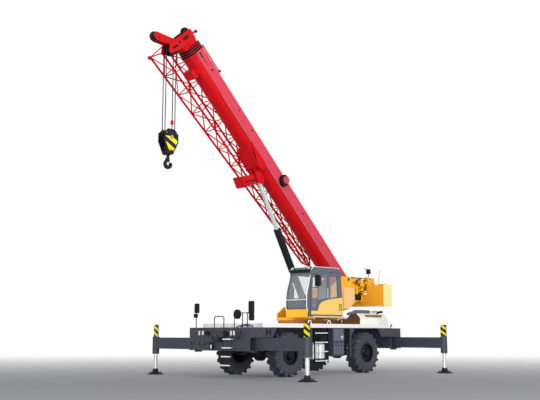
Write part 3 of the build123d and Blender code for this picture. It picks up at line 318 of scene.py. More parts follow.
def warning_stripes(name, along, period_mm, dark="#14171F", bright="#F2E300"):
    """Two-colour diagonal stripes of reflective sheet, its bands square to the direction given."""
    material = finish(name, bright, Roughness=0.35)
    tree = material.node_tree
    if "stripe band" in tree.nodes:
        return material
    across = share_along(tree, "Object", [c * 1000 / period_mm for c in along])
    part = add_node(tree, "ShaderNodeMath", [(0, across)], operation="FRACT")
    band = add_node(tree, "ShaderNodeMath", [(0, part.outputs[0])], [(1, 0.5)], operation="GREATER_THAN",
                    name="stripe band")
    colour = masked(tree, band.outputs[0], dark, bright)
    tree.links.new(colour, tree.nodes["Principled BSDF"].inputs["Base Color"])
    return material


NODE_FINISHES = {
    "boom_base": boom_enamel, "boom_section_2": boom_enamel, "boom_section_3": boom_enamel,
    "boom_section_4": boom_enamel, "boom_head": plain_red, "lattice_jib": plain_red,
    "turntable_frame": body_enamel, "counterweight": weight_enamel, "cab_shell": dark_panel, "cab_door": dark_panel,
    "cab_skirt": cab_enamel, "door_panel": cab_enamel,
    "deck": deck_coat, "engine_hood": hood_coat, "slew_ring": ring_painted_shade, "chassis_frame": frame_coat,
    "front_outrigger_box": frame_coat, "rear_outrigger_box": frame_coat, "arch_panels": frame_coat,
    "side_cabinets": frame_coat,
    "side_tanks": mill_aluminium, "access_steps": mill_aluminium, "lift_rod": hard_chrome,
    "cab_glass": cab_glass_tint, "door_glass": cab_glass_tint, "cab_interior": seat_cloth, "hoist_ropes": wire_rope,
}


def default_finish(node):
    """The finish of a node that the table above leaves out."""
    if node.startswith("tyre_"):
        return tyre_rubber()
    if node.startswith("outrigger_beam_"):
        return frame_coat()
    if node.startswith("jack_"):
        return hard_chrome()
    return black_coat()


def paint(piece, *materials):
    """Put only these materials on a piece."""
    piece.data.materials.clear()
    for material in materials:
        piece.data.materials.append(material)
    return piece


class CRANE_OT_finishes(bpy.types.Operator):
    """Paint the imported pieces"""
    bl_idname = "crane.finishes"
    bl_label = "Paint the pieces"

    def execute(self, context):
        for name, node in frame["nodes"].items():
            make = NODE_FINISHES.get(name)
            paint(node, make() if make else default_finish(name))
            if name == "hoist_ropes":
                swell = node.modifiers.new("swell to read at the photo's size", "DISPLACE")
                swell.strength = ROPE_SWELL_M
                swell.mid_level = 0
        return {"FINISHED"}


def joint_named(name):
    """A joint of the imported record."""
    return next(joint for joint in frame["joints"] if joint["name"] == name)


def boom_frame():
    """Matrix from (along the boom, left, square to it) to the object's frame."""
    along = Vector(joint_named("extend_2")["axis"]).normalized()
    pivot = Vector(joint_named("luff")["pos_m"])
    left = Vector((0, 1, 0))
    square = along.cross(left)
    return Matrix.Translation(pivot) @ Matrix((along, left, square)).transposed().to_4x4()


def add_box(shape, low, high):
    """A box between two corners."""
    low, high = Vector(low), Vector(high)
    size = Matrix.Diagonal((*[abs(c) for c in high - low], 1))
    bmesh.ops.create_cube(shape, size=1, matrix=Matrix.Translation((low + high) / 2) @ size)


def add_plate(shape, outline, right, left):
    """Flat plate: an outline of (along, up) points drawn out sideways from right to left."""
    face = shape.faces.new([shape.verts.new((x, right, z)) for x, z in outline])
    moved = bmesh.ops.extrude_face_region(shape, geom=[face])["geom"]
    bmesh.ops.translate(shape, verts=[item for item in moved if isinstance(item, bmesh.types.BMVert)],
                        vec=(0, left - right, 0))


def add_rod(shape, start, end, radius, end_radius=None, segments=20):
    """A round rod or cone from one point to another."""
    start, end = Vector(start), Vector(end)
    turn = (end - start).to_track_quat("Z", "Y").to_matrix().to_4x4()
    bmesh.ops.create_cone(
        shape, cap_ends=True, segments=segments, radius1=radius, radius2=radius if end_radius is None else end_radius,
        depth=(end - start).length, matrix=Matrix.Translation((start + end) / 2) @ turn)


def add_bolt_ring(shape, start, end, radius, count, bolt_radius, first=0.0, segments=6):
    """Bolts round the upright or sideways line between two points; first is the first bolt's share of a step."""
    start, end = Vector(start), Vector(end)
    upright = start.z != end.z
    for number in range(count):
        turn = 2 * pi * (number + first) / count
        out = radius * Vector((cos(turn), sin(turn), 0) if upright else (cos(turn), 0, sin(turn)))
        add_rod(shape, start + out, end + out, bolt_radius, segments=segments)


def add_ball(shape, centre, radius, segments=16, rings=10):
    """A ball round a point."""
    bmesh.ops.create_uvsphere(shape, u_segments=segments, v_segments=rings, radius=radius,
                              matrix=Matrix.Translation(centre))


def add_bent_rod(shape, points, radius, segments=12):
    """A tube through several points, with a ball at each bend."""
    for start, end in zip(points, points[1:]):
        add_rod(shape, start, end, radius, segments=segments)
    for point in points[1:-1]:
        add_ball(shape, point, radius, segments, segments // 2)


def add_object(name, data):
    """Put a new object with this data into the scene."""
    item = bpy.data.objects.new(name, data)
    bpy.context.scene.collection.objects.link(item)
    return item


def make_piece(name, shape, material, body, bevel=0.0, smooth=True, place=None):
    """Turn a bmesh, drawn in the frame that a matrix gives, into a piece on a body, and empty it for the next one."""
    mesh = bpy.data.meshes.new(name)
    if place is not None:
        bmesh.ops.transform(shape, matrix=place, verts=shape.verts)
    bmesh.ops.recalc_face_normals(shape, faces=shape.faces)
    for face in shape.faces:
        face.smooth = False
    shape.to_mesh(mesh)
    shape.clear()
    piece = add_object(name, mesh)
    mesh.materials.append(material)
    if smooth:
        mesh.shade_smooth()
        mesh.set_sharp_from_angle(angle=radians(35))
    if bevel:
        modifier = piece.modifiers.new("edge", "BEVEL")
        modifier.width = bevel
        modifier.segments = 2
        modifier.limit_method = "ANGLE"
    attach(piece, body)
    return piece


def hose_piece(name, runs, radius, body):
    """Bent hoses: each a smooth curve drawn through given points, turned to mesh."""
    curve = bpy.data.curves.new(name, "CURVE")
    curve.dimensions = "3D"
    curve.bevel_depth = radius
    curve.bevel_resolution = 3
    curve.use_fill_caps = True
    for points in runs:
        spline = curve.splines.new("NURBS")
        spline.points.add(len(points) - 1)
        for point, target in zip(spline.points, points):
            point.co = (*target, 1)
        spline.order_u = 4
        spline.use_endpoint_u = True
        spline.resolution_u = 8
    holder = add_object(name + "_curve", curve)
    mesh = bpy.data.meshes.new_from_object(holder)
    bpy.data.objects.remove(holder)
    piece = add_object(name, mesh)
    mesh.materials.clear()
    mesh.materials.append(hose_rubber())
    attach(piece, body)
    return piece


class CRANE_OT_outrigger_marks(bpy.types.Operator):
    """Striped marker plates, bolts and collars on the outriggers"""
    bl_idname = "crane.outrigger_marks"
    bl_label = "Outrigger marks"

    def execute(self, context):
        shape = bmesh.new()
        box, rod = partial(add_box, shape), partial(add_rod, shape)
        stripes = warning_stripes("marker stripes", (0, 0.6, 1), 215)
        for tag in WHEELS:
            low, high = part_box("outrigger_beam_" + tag)
            jack_low, jack_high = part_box("jack_" + tag)
            centre = (jack_low + jack_high) / 2
            for x in (centre.x - 0.0135, centre.x + 0.0135):
                box((x - 0.0015, centre.y - 0.119, high.z - 0.425), (x + 0.0015, centre.y + 0.119, high.z - 0.006))
            make_piece("marker_sheet_" + tag, shape, stripes, "beam_" + tag, smooth=False)
            add_bolt_ring(shape, (centre.x, centre.y, 0.752), (centre.x, centre.y, 0.722), 0.108, 8, 0.011)
            make_piece("jack_bolts_" + tag, shape, zinc_steel(), "beam_" + tag, smooth=False)
            rod((centre.x, centre.y, 0.722), (centre.x, centre.y, 0.7405), 0.1)
            make_piece("jack_gland_" + tag, shape, seal_blue(), "beam_" + tag)
            add_bolt_ring(shape, (centre.x, centre.y, 0.038), (centre.x, centre.y, 0.103), 0.19, 4, 0.018, first=0.5,
                          segments=8)
            make_piece("pad_lugs_" + tag, shape, black_coat(), "jack_" + tag)
        return {"FINISHED"}


class CRANE_OT_pads(bpy.types.Operator):
    """Black pads under the chrome rods"""
    bl_idname = "crane.pads"
    bl_label = "Jack pads"

    def execute(self, context):
        shape = bmesh.new()
        rod = partial(add_rod, shape)
        for tag in WHEELS:
            low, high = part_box("jack_" + tag)
            centre = (low + high) / 2
            outline = ((0.0, 0.0), (0.3, 0.0), (0.3, 0.022), (0.24, 0.034), (0.15, 0.0675), (0.1, 0.135), (0.09, 0.2),
                       (0.0, 0.2))
            points = [shape.verts.new((r, 0, z)) for r, z in outline]
            edges = [shape.edges.new(pair) for pair in zip(points, points[1:])]
            bmesh.ops.spin(shape, geom=points + edges, cent=(0, 0, 0), axis=(0, 0, 1), angle=2 * pi, steps=48,
                           use_merge=True, dvec=(0, 0, 0))
            bmesh.ops.remove_doubles(shape, verts=shape.verts, dist=1e-5)
            rod((0, 0, 0.19), (0, 0, high.z - low.z), 0.07, segments=32)
            bmesh.ops.translate(shape, verts=shape.verts, vec=(centre.x, centre.y, low.z))
            piece = make_piece("jack_leg_" + tag, shape, black_coat(), "jack_" + tag)
            piece.data.materials.append(hard_chrome())
            for polygon in piece.data.polygons:
                if polygon.center.z > low.z + 0.201:
                    polygon.material_index = 1
            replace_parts(piece, "jack_" + tag)
        return {"FINISHED"}


class CRANE_OT_wheel_parts(bpy.types.Operator):
    """Hub bolts of the four wheels"""
    bl_idname = "crane.wheel_parts"
    bl_label = "Wheel parts"

    def execute(self, context):
        shape = bmesh.new()
        for tag in WHEELS:
            low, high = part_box("rim_" + tag)
            centre = (low + high) / 2
            side = 1 if centre.y > 0 else -1
            wheel_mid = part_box("tyre_" + tag)[side > 0].y - side * 0.26
            for depth, height, radius, count, bolt_radius, first in ((0.13, 0.175, 0.232, 16, 0.017, 0.5),
                                                                     (0.23, 0.252, 0.086, 8, 0.01, 0.0)):
                start, end = ((centre.x, wheel_mid + side * far, centre.z) for far in (depth, height))
                add_bolt_ring(shape, start, end, radius, count, bolt_radius, first)
            make_piece("hub_bolts_" + tag, shape, frame_coat(), "wheel_" + tag, smooth=False)
        return {"FINISHED"}


class CRANE_OT_cab_parts(bpy.types.Operator):
    """Guard bars, mirror, wiper and trim of the cab"""
    bl_idname = "crane.cab_parts"
    bl_label = "Cab parts"

    def execute(self, context):
        shape = bmesh.new()
        box, rod, bent_rod = partial(add_box, shape), partial(add_rod, shape), partial(add_bent_rod, shape)
        low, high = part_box("cab_shell")
        outer, inner = CAB_LEFT, low.y
        for y in (outer - 0.012, inner + 0.012):
            bent_rod([(1.2, y, 2.2), (1.262, y, 2.38), (1.245, y, 2.83), (1.135, y, 3.2), (0.99, y, 3.69),
                      (0.9, y, 3.775)], 0.015)
            bent_rod([(0.82, y, 3.8), (0.9, y, 3.775)], 0.015)
            bent_rod([(0.9, y, 3.79), (-0.5, y, 3.8), (-0.56, y, 3.74)], 0.012)
        rod((1.262, inner, 2.62), (1.262, outer, 2.62), 0.015)
        rod((0.9, inner, 3.785), (0.9, outer, 3.785), 0.013)
        make_piece("cab_guard_bars", shape, white_coat(), "turntable")
        box((0.3, inner + 0.1, 3.745), (0.84, outer - 0.08, 3.81))
        make_piece("cab_roof_pane", shape, roof_glass(), "turntable", bevel=0.004)
        screen_foot = [(1.178, 2.3), (1.19, 2.38), (1.188, 2.5), (1.184, 2.6)]
        for (x0, z0), (x1, z1) in zip(screen_foot, screen_foot[1:]):
            box((min(x0, x1) - 0.008, inner + 0.078, z0), (max(x0, x1) - 0.002, outer - 0.078, z1 + 0.001))
        box((1.13, inner + 0.078, 2.6), (1.182, outer - 0.078, 2.625))
        make_piece("screen_lower_panel", shape, black_coat(), "turntable", smooth=False)
        bent_rod([(1.225, 1.008, 2.721), (1.160, 0.698, 3.221)], 0.012, segments=8)
        make_piece("wiper", shape, white_coat(), "turntable")
        box((0.985, inner + 0.02, 3.59), (1.035, outer - 0.02, 3.69))
        box((-0.56, outer + 0.002, 3.63), (0.11, outer + 0.02, 3.67))
        make_piece("screen_header", shape, black_coat(), "turntable", bevel=0.006)
        box((low.x + 0.02, outer - 0.01, low.z + 0.005), (0.95, outer + 0.0015, low.z + 0.075))
        make_piece("cab_sill", shape, white_coat(), "turntable", bevel=0.001)
        bent_rod([(1.0, outer, 3.5), (0.95, 1.66, 3.52), (0.935, 1.68, 3.42)], 0.012)
        bent_rod([(1.03, outer, 3.05), (0.95, 1.66, 3.05), (0.935, 1.68, 3.15)], 0.012)
        make_piece("cab_mirror_arms", shape, black_coat(), "turntable")
        box((0.9, 1.56, 3.09), (0.965, 1.81, 3.48))
        make_piece("cab_mirror", shape, black_coat(), "turntable", bevel=0.025)
        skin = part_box("cab_skirt")[1].y
        for row in range(2):
            for step in range(6):
                x = -0.6 + row * 0.11
                z = 2.27 + step * 0.042
                box((x - 0.075, skin - 0.006, z), (x + 0.01, skin + 0.0006, z + 0.024))
        make_piece("cab_vents", shape, black_coat(), "turntable", smooth=False)
        rod((0.19, 1.51, 2.72), (0.19, 1.51, 3.02), 0.012)
        for z in (2.72, 3.02):
            rod((0.19, 1.485, z), (0.19, 1.515, z), 0.014)
        make_piece("door_grab", shape, white_coat(), "cab_door")
        box((0.13, 1.486, 2.78), (0.175, 1.5, 2.92))
        make_piece("door_handle", shape, black_coat(), "cab_door", bevel=0.004)
        for y in (inner + 0.12, outer - 0.12):
            box((0.93, y - 0.07, 3.7), (1.01, y + 0.07, 3.78))
        make_piece("cab_work_lamps", shape, black_coat(), "turntable", bevel=0.012)
        for y in (inner + 0.12, outer - 0.12):
            box((1.008, y - 0.06, 3.71), (1.014, y + 0.06, 3.77))
        make_piece("cab_lamp_lenses", shape, lamp_lens(), "turntable", bevel=0.004)
        return {"FINISHED"}


class CRANE_OT_hook_marks(bpy.types.Operator):
    """Stripes on the hook block's cheeks, bolts and the anti-two-block weight"""
    bl_idname = "crane.hook_marks"
    bl_label = "Hook block marks"

    def execute(self, context):
        shape = bmesh.new()
        rod = partial(add_rod, shape)
        low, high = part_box("hook_block")
        centre = (low + high) / 2
        pin_z = high.z - 0.27
        outline = ((-0.24, 0.02), (0.24, 0.02), (0.24, -0.15), (0.105, -0.43), (-0.105, -0.43), (-0.24, -0.15))
        for side in (1, -1):
            add_plate(shape, [(centre.x + x, pin_z + z) for x, z in outline], side * 0.1665, side * 0.1685)
        stripes = warning_stripes("block stripes", (-0.55, 0, 1), 330)
        make_piece("block_sheets", shape, stripes, "hook_block", smooth=False)
        for side in (1, -1):
            rod((centre.x, side * 0.165, pin_z), (centre.x, side * 0.2, pin_z), 0.062, segments=24)
            for x, z in ((-0.2, 0.13), (0.2, 0.13), (-0.09, -0.46), (0.09, -0.46)):
                rod((centre.x + x, side * 0.165, pin_z + z), (centre.x + x, side * 0.182, pin_z + z), 0.02, segments=6)
        make_piece("block_bolts", shape, zinc_steel(), "hook_block", smooth=False)
        rod((centre.x - 0.16, -0.02, high.z + 0.2), (centre.x - 0.16, -0.02, high.z + 0.34), 0.05)
        make_piece("limit_weight", shape, boom_enamel(), "hook_block", bevel=0.008)
        return {"FINISHED"}


class CRANE_OT_winch_parts(bpy.types.Operator):
    """Rope on the drums, motors, hoses and small fittings behind the boom's foot"""
    bl_idname = "crane.winch_parts"
    bl_label = "Winch parts"

    def execute(self, context):
        shape = bmesh.new()
        box, rod, bent_rod = partial(add_box, shape), partial(add_rod, shape), partial(add_bent_rod, shape)
        for name in ("main_drum", "auxiliary_drum"):
            low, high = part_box(name)
            centre = (low + high) / 2
            pitch = 0.0235
            turns = 28
            for number in range(turns):
                y = (number - (turns - 1) / 2) * pitch
                rod((centre.x, y - pitch / 2, centre.z), (centre.x, y, centre.z), 0.135, 0.147, segments=28)
                rod((centre.x, y, centre.z), (centre.x, y + pitch / 2, centre.z), 0.147, 0.135, segments=28)
            make_piece(name + "_rope", shape, wire_rope(), name, smooth=False)
        for x, z in ((-2.99, 3.33), (-3.43, 3.39)):
            rod((x, 0.605, z), (x, 0.66, z), 0.06)
            add_bolt_ring(shape, (x, 0.487, z), (x, 0.507, z), 0.112, 8, 0.013)
            box((x - 0.07, 0.5, z + 0.08), (x + 0.07, 0.6, z + 0.19))
            rod((x - 0.03, 0.55, z + 0.18), (x - 0.03, 0.55, z + 0.26), 0.022)
            rod((x + 0.035, 0.55, z + 0.18), (x + 0.035, 0.55, z + 0.24), 0.018)
        for x, z in ((-2.62, 3.18), (-2.78, 3.16), (-3.2, 3.2), (-2.7, 3.42), (-3.14, 3.1)):
            box((x - 0.05, 0.42, z), (x + 0.05, 0.49, z + 0.12))
            rod((x, 0.455, z + 0.12), (x, 0.455, z + 0.17), 0.02)
        box((-2.98, 0.42, 3.44), (-2.55, 0.48, 3.585))
        rod((-3.72, 0.3, 3.47), (-3.72, 0.56, 3.47), 0.14)
        rod((-3.72, 0.56, 3.47), (-3.72, 0.6, 3.47), 0.08)
        rod((-3.4, 0.5, 3.6), (-3.4, 0.5, 3.665), 0.13, 0.08)
        box((-3.6, 0.5, 3.0), (-3.53, 0.54, 3.46))
        box((-3.5, 0.42, 3.2), (-2.6, 0.46, 3.235))
        box((-3.45, 0.42, 3.04), (-2.7, 0.47, 3.075))
        make_piece("winch_fittings", shape, body_enamel(), "turntable", bevel=0.004)
        box((-3.62, 0.4, 3.6), (-2.52, 0.56, 3.616))
        for x, z in ((-2.9, 3.36), (-3.22, 3.3), (-3.5, 3.3), (-3.1, 3.44), (-2.66, 3.34)):
            rod((x, 0.5, z), (x, 0.56, z), 0.03)
        make_piece("winch_slate_parts", shape, slate_plate(), "turntable", bevel=0.003)
        # Black panels and bars in the winch area: painted shadow where the area lies in shade, with some dark fittings
        box((-3.22, -0.37, 2.98), (-3.2, 0.37, 3.5))
        box((-3.1, 0.421, 2.74), (-2.6, 0.45, 2.98))
        box((-3.66, 0.5, 2.98), (-3.61, 0.54, 3.28))
        box((-3.3, 0.42, 3.13), (-2.62, 0.45, 3.17))
        box((-3.25, 0.42, 2.985), (-2.7, 0.46, 3.02))
        box((-3.9, 0.48, 3.6), (-3.66, 0.52, 3.625))
        make_piece("winch_shadow_parts", shape, black_coat(), "turntable", bevel=0.003)
        runs = [
            [(-2.62, 0.46, 3.34), (-2.62, 0.52, 3.5), (-2.8, 0.55, 3.52), (-3.02, 0.55, 3.6)],
            [(-2.955, 0.55, 3.58), (-2.9, 0.58, 3.66), (-2.75, 0.5, 3.45), (-2.78, 0.46, 3.34)],
            [(-3.46, 0.55, 3.64), (-3.4, 0.58, 3.72), (-3.2, 0.52, 3.5), (-3.2, 0.46, 3.34)],
            [(-2.7, 0.49, 3.5), (-2.85, 0.56, 3.3), (-3.0, 0.54, 3.2), (-3.14, 0.49, 3.25)],
            [(-3.3, 0.5, 3.4), (-3.35, 0.58, 3.25), (-3.2, 0.55, 3.1), (-2.95, 0.5, 3.06)],
        ]
        hose_piece("winch_hoses", runs, 0.014, "turntable")
        box((-3.61, 0.44, 3.79), (-3.45, 0.55, 3.985))
        rod((-3.53, 0.495, 3.6), (-3.53, 0.495, 3.8), 0.012)
        rod((-3.45, 0.5, 3.97), (-3.25, 0.5, 3.99), 0.011)
        rod((-3.61, 0.5, 3.87), (-3.74, 0.5, 3.87), 0.011)
        make_piece("signal_box", shape, black_coat(), "turntable", bevel=0.01)
        bent_rod([(-3.64, 0.9, 3.3), (-3.66, 0.9, 3.62), (-3.74, 0.9, 3.93)], 0.016)
        make_piece("weight_grab_bar", shape, body_enamel(), "turntable")
        # Outer side plate of the tower, in the paler enamel of its painted highlight
        outline = [(-1.973, 3.209), (-2.627, 3.200), (-2.640, 2.754), (-2.302, 2.392), (-1.954, 2.385)]
        add_plate(shape, outline, 0.415, 0.5)
        make_piece("tower_side_plate", shape, side_plate_painted_highlight(), "turntable", bevel=0.008)
        low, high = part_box("counterweight")
        for y in (-1.2, 1.2):
            for x in (low.x + 0.2, high.x - 0.2):
                rod((x, y, high.z - 0.005), (x, y, high.z + 0.03), 0.05)
        box((-3.5, 1.15, high.z), (-3.3, 1.4, high.z + 0.02))
        make_piece("weight_lugs", shape, black_coat(), "turntable", bevel=0.006)
        return {"FINISHED"}


class CRANE_OT_carrier_parts(bpy.types.Operator):
    """Lamps, bolts, hoses, cabinet doors and tow hooks of the carrier"""
    bl_idname = "crane.carrier_parts"
    bl_label = "Carrier parts"

    def execute(self, context):
        shape = bmesh.new()
        box, rod, bent_rod = partial(add_box, shape), partial(add_rod, shape), partial(add_bent_rod, shape)
        low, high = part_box("front_outrigger_box")
        face = high.x
        for y in (-0.887, -0.712, 0.683, 0.825):
            box((face - 0.005, y - 0.035, 1.395), (face + 0.02, y + 0.035, 1.54))
        make_piece("front_marker_lamps", shape, lamp_lens(), "carrier", bevel=0.004)
        for y in (-0.43, 0.45):
            rod((face - 0.005, y, 1.47), (face + 0.06, y, 1.47), 0.075)
            rod((face + 0.06, y, 1.47), (face + 0.07, y, 1.47), 0.09)
        for y in (-1.381, -0.979, -0.721):
            rod((face, y + 0.07, 1.115), (face + 0.012, y + 0.07, 1.115), 0.035)
        box((face - 0.004, -0.2, 1.19), (face + 0.008, 0.24, 1.34))
        box((face - 0.004, -0.36, 0.93), (face + 0.03, -0.3, 1.17))
        box((face - 0.004, -0.22, 0.93), (face + 0.03, -0.16, 1.17))
        piece = make_piece("front_black_parts", shape, black_coat(), "carrier", bevel=0.006)
        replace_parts(piece, "front_lamps")
        bent_rod([(face + 0.03, -0.26, 0.96), (face + 0.05, -0.26, 1.02), (face + 0.03, -0.24, 1.08)], 0.02)
        make_piece("front_hook", shape, white_coat(), "carrier")
        for y, z in ((-1.381, 1.12), (-0.979, 1.12), (-0.721, 1.12), (-1.182, 0.916), (-0.524, 0.912), (0.73, 1.0)):
            rod((face, y, z), (face + 0.02, y, z), 0.026, segments=6)
        make_piece("box_bolts", shape, brass_steel(), "carrier", smooth=False)
        box((face - 0.02, -0.22, 1.33), (face + 0.05, 0.35, 1.47))
        box((face, -0.12, 1.2), (face + 0.035, 0.05, 1.33))
        for y in (-0.16, 0.02, 0.2):
            rod((face + 0.045, y, 1.4), (face + 0.09, y, 1.4), 0.035)
        make_piece("front_coupling_panel", shape, frame_coat(), "carrier", bevel=0.006)
        runs = [
            [(face + 0.06, -0.16, 1.4), (face + 0.16, -0.16, 1.3), (face + 0.12, 0.0, 1.2), (face + 0.05, 0.02, 1.25)],
            [(face + 0.03, y, z) for y, z in ((0.955, 1.6), (0.96, 1.24), (1.07, 1.13), (1.19, 1.58))],
            [(3.9, 0.9, 1.66), (3.9, 1.0, 1.75), (3.9, 1.3, 1.78), (3.9, 1.46, 1.67)],
            [(3.8, 0.6, 1.66), (3.8, 0.75, 1.72), (3.8, 1.0, 1.76), (3.8, 1.2, 1.68)],
            [(3.3, 0.35, 0.98), (3.35, 0.5, 0.78), (3.2, 0.6, 0.75), (2.9, 0.45, 0.95)],
            [(3.4, -0.2, 0.98), (3.4, 0.1, 0.72), (3.1, 0.35, 0.7), (2.8, 0.4, 0.98)],
            [(3.45, 0.7, 0.95), (3.5, 0.62, 0.72), (3.3, 0.3, 0.7), (3.0, 0.1, 0.95)],
        ]
        hose_piece("carrier_hoses", runs, 0.018, "carrier")
        deck_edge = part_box("deck")[1].y
        box((-0.69, deck_edge, 1.19), (-0.12, deck_edge + 0.008, 1.6))
        for number in range(4):
            x = -0.67 + 0.145 * number
            box((x, deck_edge, 0.72), (x + 0.105, deck_edge + 0.012, 1.02))
        box((-0.69, deck_edge, 1.06), (-0.12, deck_edge + 0.006, 1.1))
        make_piece("cabinet_doors", shape, dark_panel(), "carrier", bevel=0.004)
        rod((-0.6, deck_edge + 0.006, 1.31), (-0.6, deck_edge + 0.02, 1.31), 0.06)
        rod((-0.11, 1.3, 0.6), (-0.11, 1.3, 0.66), 0.06)
        make_piece("fuel_gauge", shape, white_coat(), "carrier", bevel=0.003)
        rod((-0.6, deck_edge + 0.019, 1.31), (-0.6, deck_edge + 0.023, 1.31), 0.034)
        for z in (1.52, 1.28):
            box((-0.665, deck_edge + 0.006, z - 0.03), (-0.64, deck_edge + 0.016, z + 0.03))
        make_piece("gauge_face", shape, black_coat(), "carrier")
        for x in (3.3, 3.12):
            box((x - 0.015, deck_edge, 1.38), (x + 0.015, deck_edge + 0.03, 1.6))
        box((3.14, deck_edge, 1.47), (3.3, deck_edge + 0.03, 1.51))
        make_piece("fender_bracket", shape, black_coat(), "carrier", bevel=0.004)
        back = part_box("rear_outrigger_box")[0].x
        for y in (-1.15, 1.15):
            box((back - 0.03, y - 0.16, 1.42), (back, y + 0.16, 1.54))
        make_piece("tail_lamps", shape, red_lens(), "carrier", bevel=0.006)
        for y in (-0.92, 0.92):
            box((back - 0.028, y - 0.06, 1.43), (back, y + 0.06, 1.53))
        make_piece("turn_lamps", shape, amber_lens(), "carrier", bevel=0.006)
        for x in (-3.7, -3.98):
            bent_rod([(x, 1.2, 1.65), (x, 1.2, 1.74), (x - 0.04, 1.2, 1.79), (x - 0.09, 1.2, 1.75)], 0.02)
        make_piece("tow_hooks", shape, frame_coat(), "carrier")
        for x in (1.1, 0.06):
            bend = ((-0.09, 1.79), (-0.05, 1.9), (0.05, 1.9), (0.09, 1.79))
            bent_rod([(x + along, 1.44, z) for along, z in bend], 0.018)
        make_piece("deck_lugs", shape, white_coat(), "carrier")
        for y in (-1.3, 0.62, 1.01, 1.24, -0.36, 0.11):
            rod((3.93, y, 1.655), (3.93, y, 1.81), 0.016)
        make_piece("rail_feet", shape, black_coat(), "carrier")
        low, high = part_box("deck")
        box((low.x, low.y, low.z), (3.46, high.y, high.z))
        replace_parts(make_piece("deck_slab", shape, deck_coat(), "carrier", bevel=0.008), "deck")
        for step in range(4):
            z = 0.41 + 0.28 * step
            x = face + 0.115 - 0.035 * step
            box((x, 0.375, z), (x + 0.1, 0.775, z + 0.04))
        for z in (0.49, 0.81, 1.13, 1.45):
            box((0.17, 1.433, z), (0.87, 1.488, z + 0.035))
        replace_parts(make_piece("step_bars", shape, step_metal(), "carrier", bevel=0.004), "access_steps")
        for y in (0.375, 0.775):
            rod((face + 0.175, y, 0.41), (face + 0.06, y, 1.3), 0.014)
            rod((face + 0.06, y, 1.3), (face, y, 1.34), 0.014)
        for x in (0.155, 0.87):
            box((x, 1.443, 0.43), (x + 0.03, 1.488, 1.65))
        make_piece("step_rails", shape, black_coat(), "carrier")
        return {"FINISHED"}


class CRANE_OT_hood_parts(bpy.types.Operator):
    """Exhaust, louvres and lamps of the engine hood"""
    bl_idname = "crane.hood_parts"
    bl_label = "Hood parts"

    def execute(self, context):
        shape = bmesh.new()
        box, rod = partial(add_box, shape), partial(add_rod, shape)
        low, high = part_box("engine_hood")
        box((-3.267, 0.600, 2.220), (-2.412, 0.720, 2.351))
        rod((-1.963, 0.660, 2.185), (-2.549, 0.660, 2.271), 0.05, 0.085)
        make_piece("exhaust_shield", shape, slate_plate(), "carrier", bevel=0.01)
        for number in range(7):
            x = -2.75 - 0.15 * number
            box((x - 0.05, 0.86, 2.07), (x + 0.03, 0.98, 2.16))
        make_piece("hood_louvres", shape, louvre_brown(), "carrier", smooth=False)
        rod((-3.776, 0.700, 2.268), (-4.094, 0.700, 2.298), 0.045)
        rod((-3.474, 0.800, 2.110), (-3.847, 0.720, 2.262), 0.03)
        make_piece("exhaust_outlet", shape, black_coat(), "carrier")
        for y, z in ((-0.05, 1.98), (0.14, 1.92)):
            rod((high.x, y, z), (high.x + 0.02, y, z), 0.035)
        make_piece("hood_lamps", shape, white_coat(), "carrier")
        for y in (-0.05, 0.03, 0.2):
            box((high.x, y - 0.006, 1.83), (high.x + 0.01, y + 0.006, 2.1))
        make_piece("hood_seams", shape, black_coat(), "carrier")
        return {"FINISHED"}


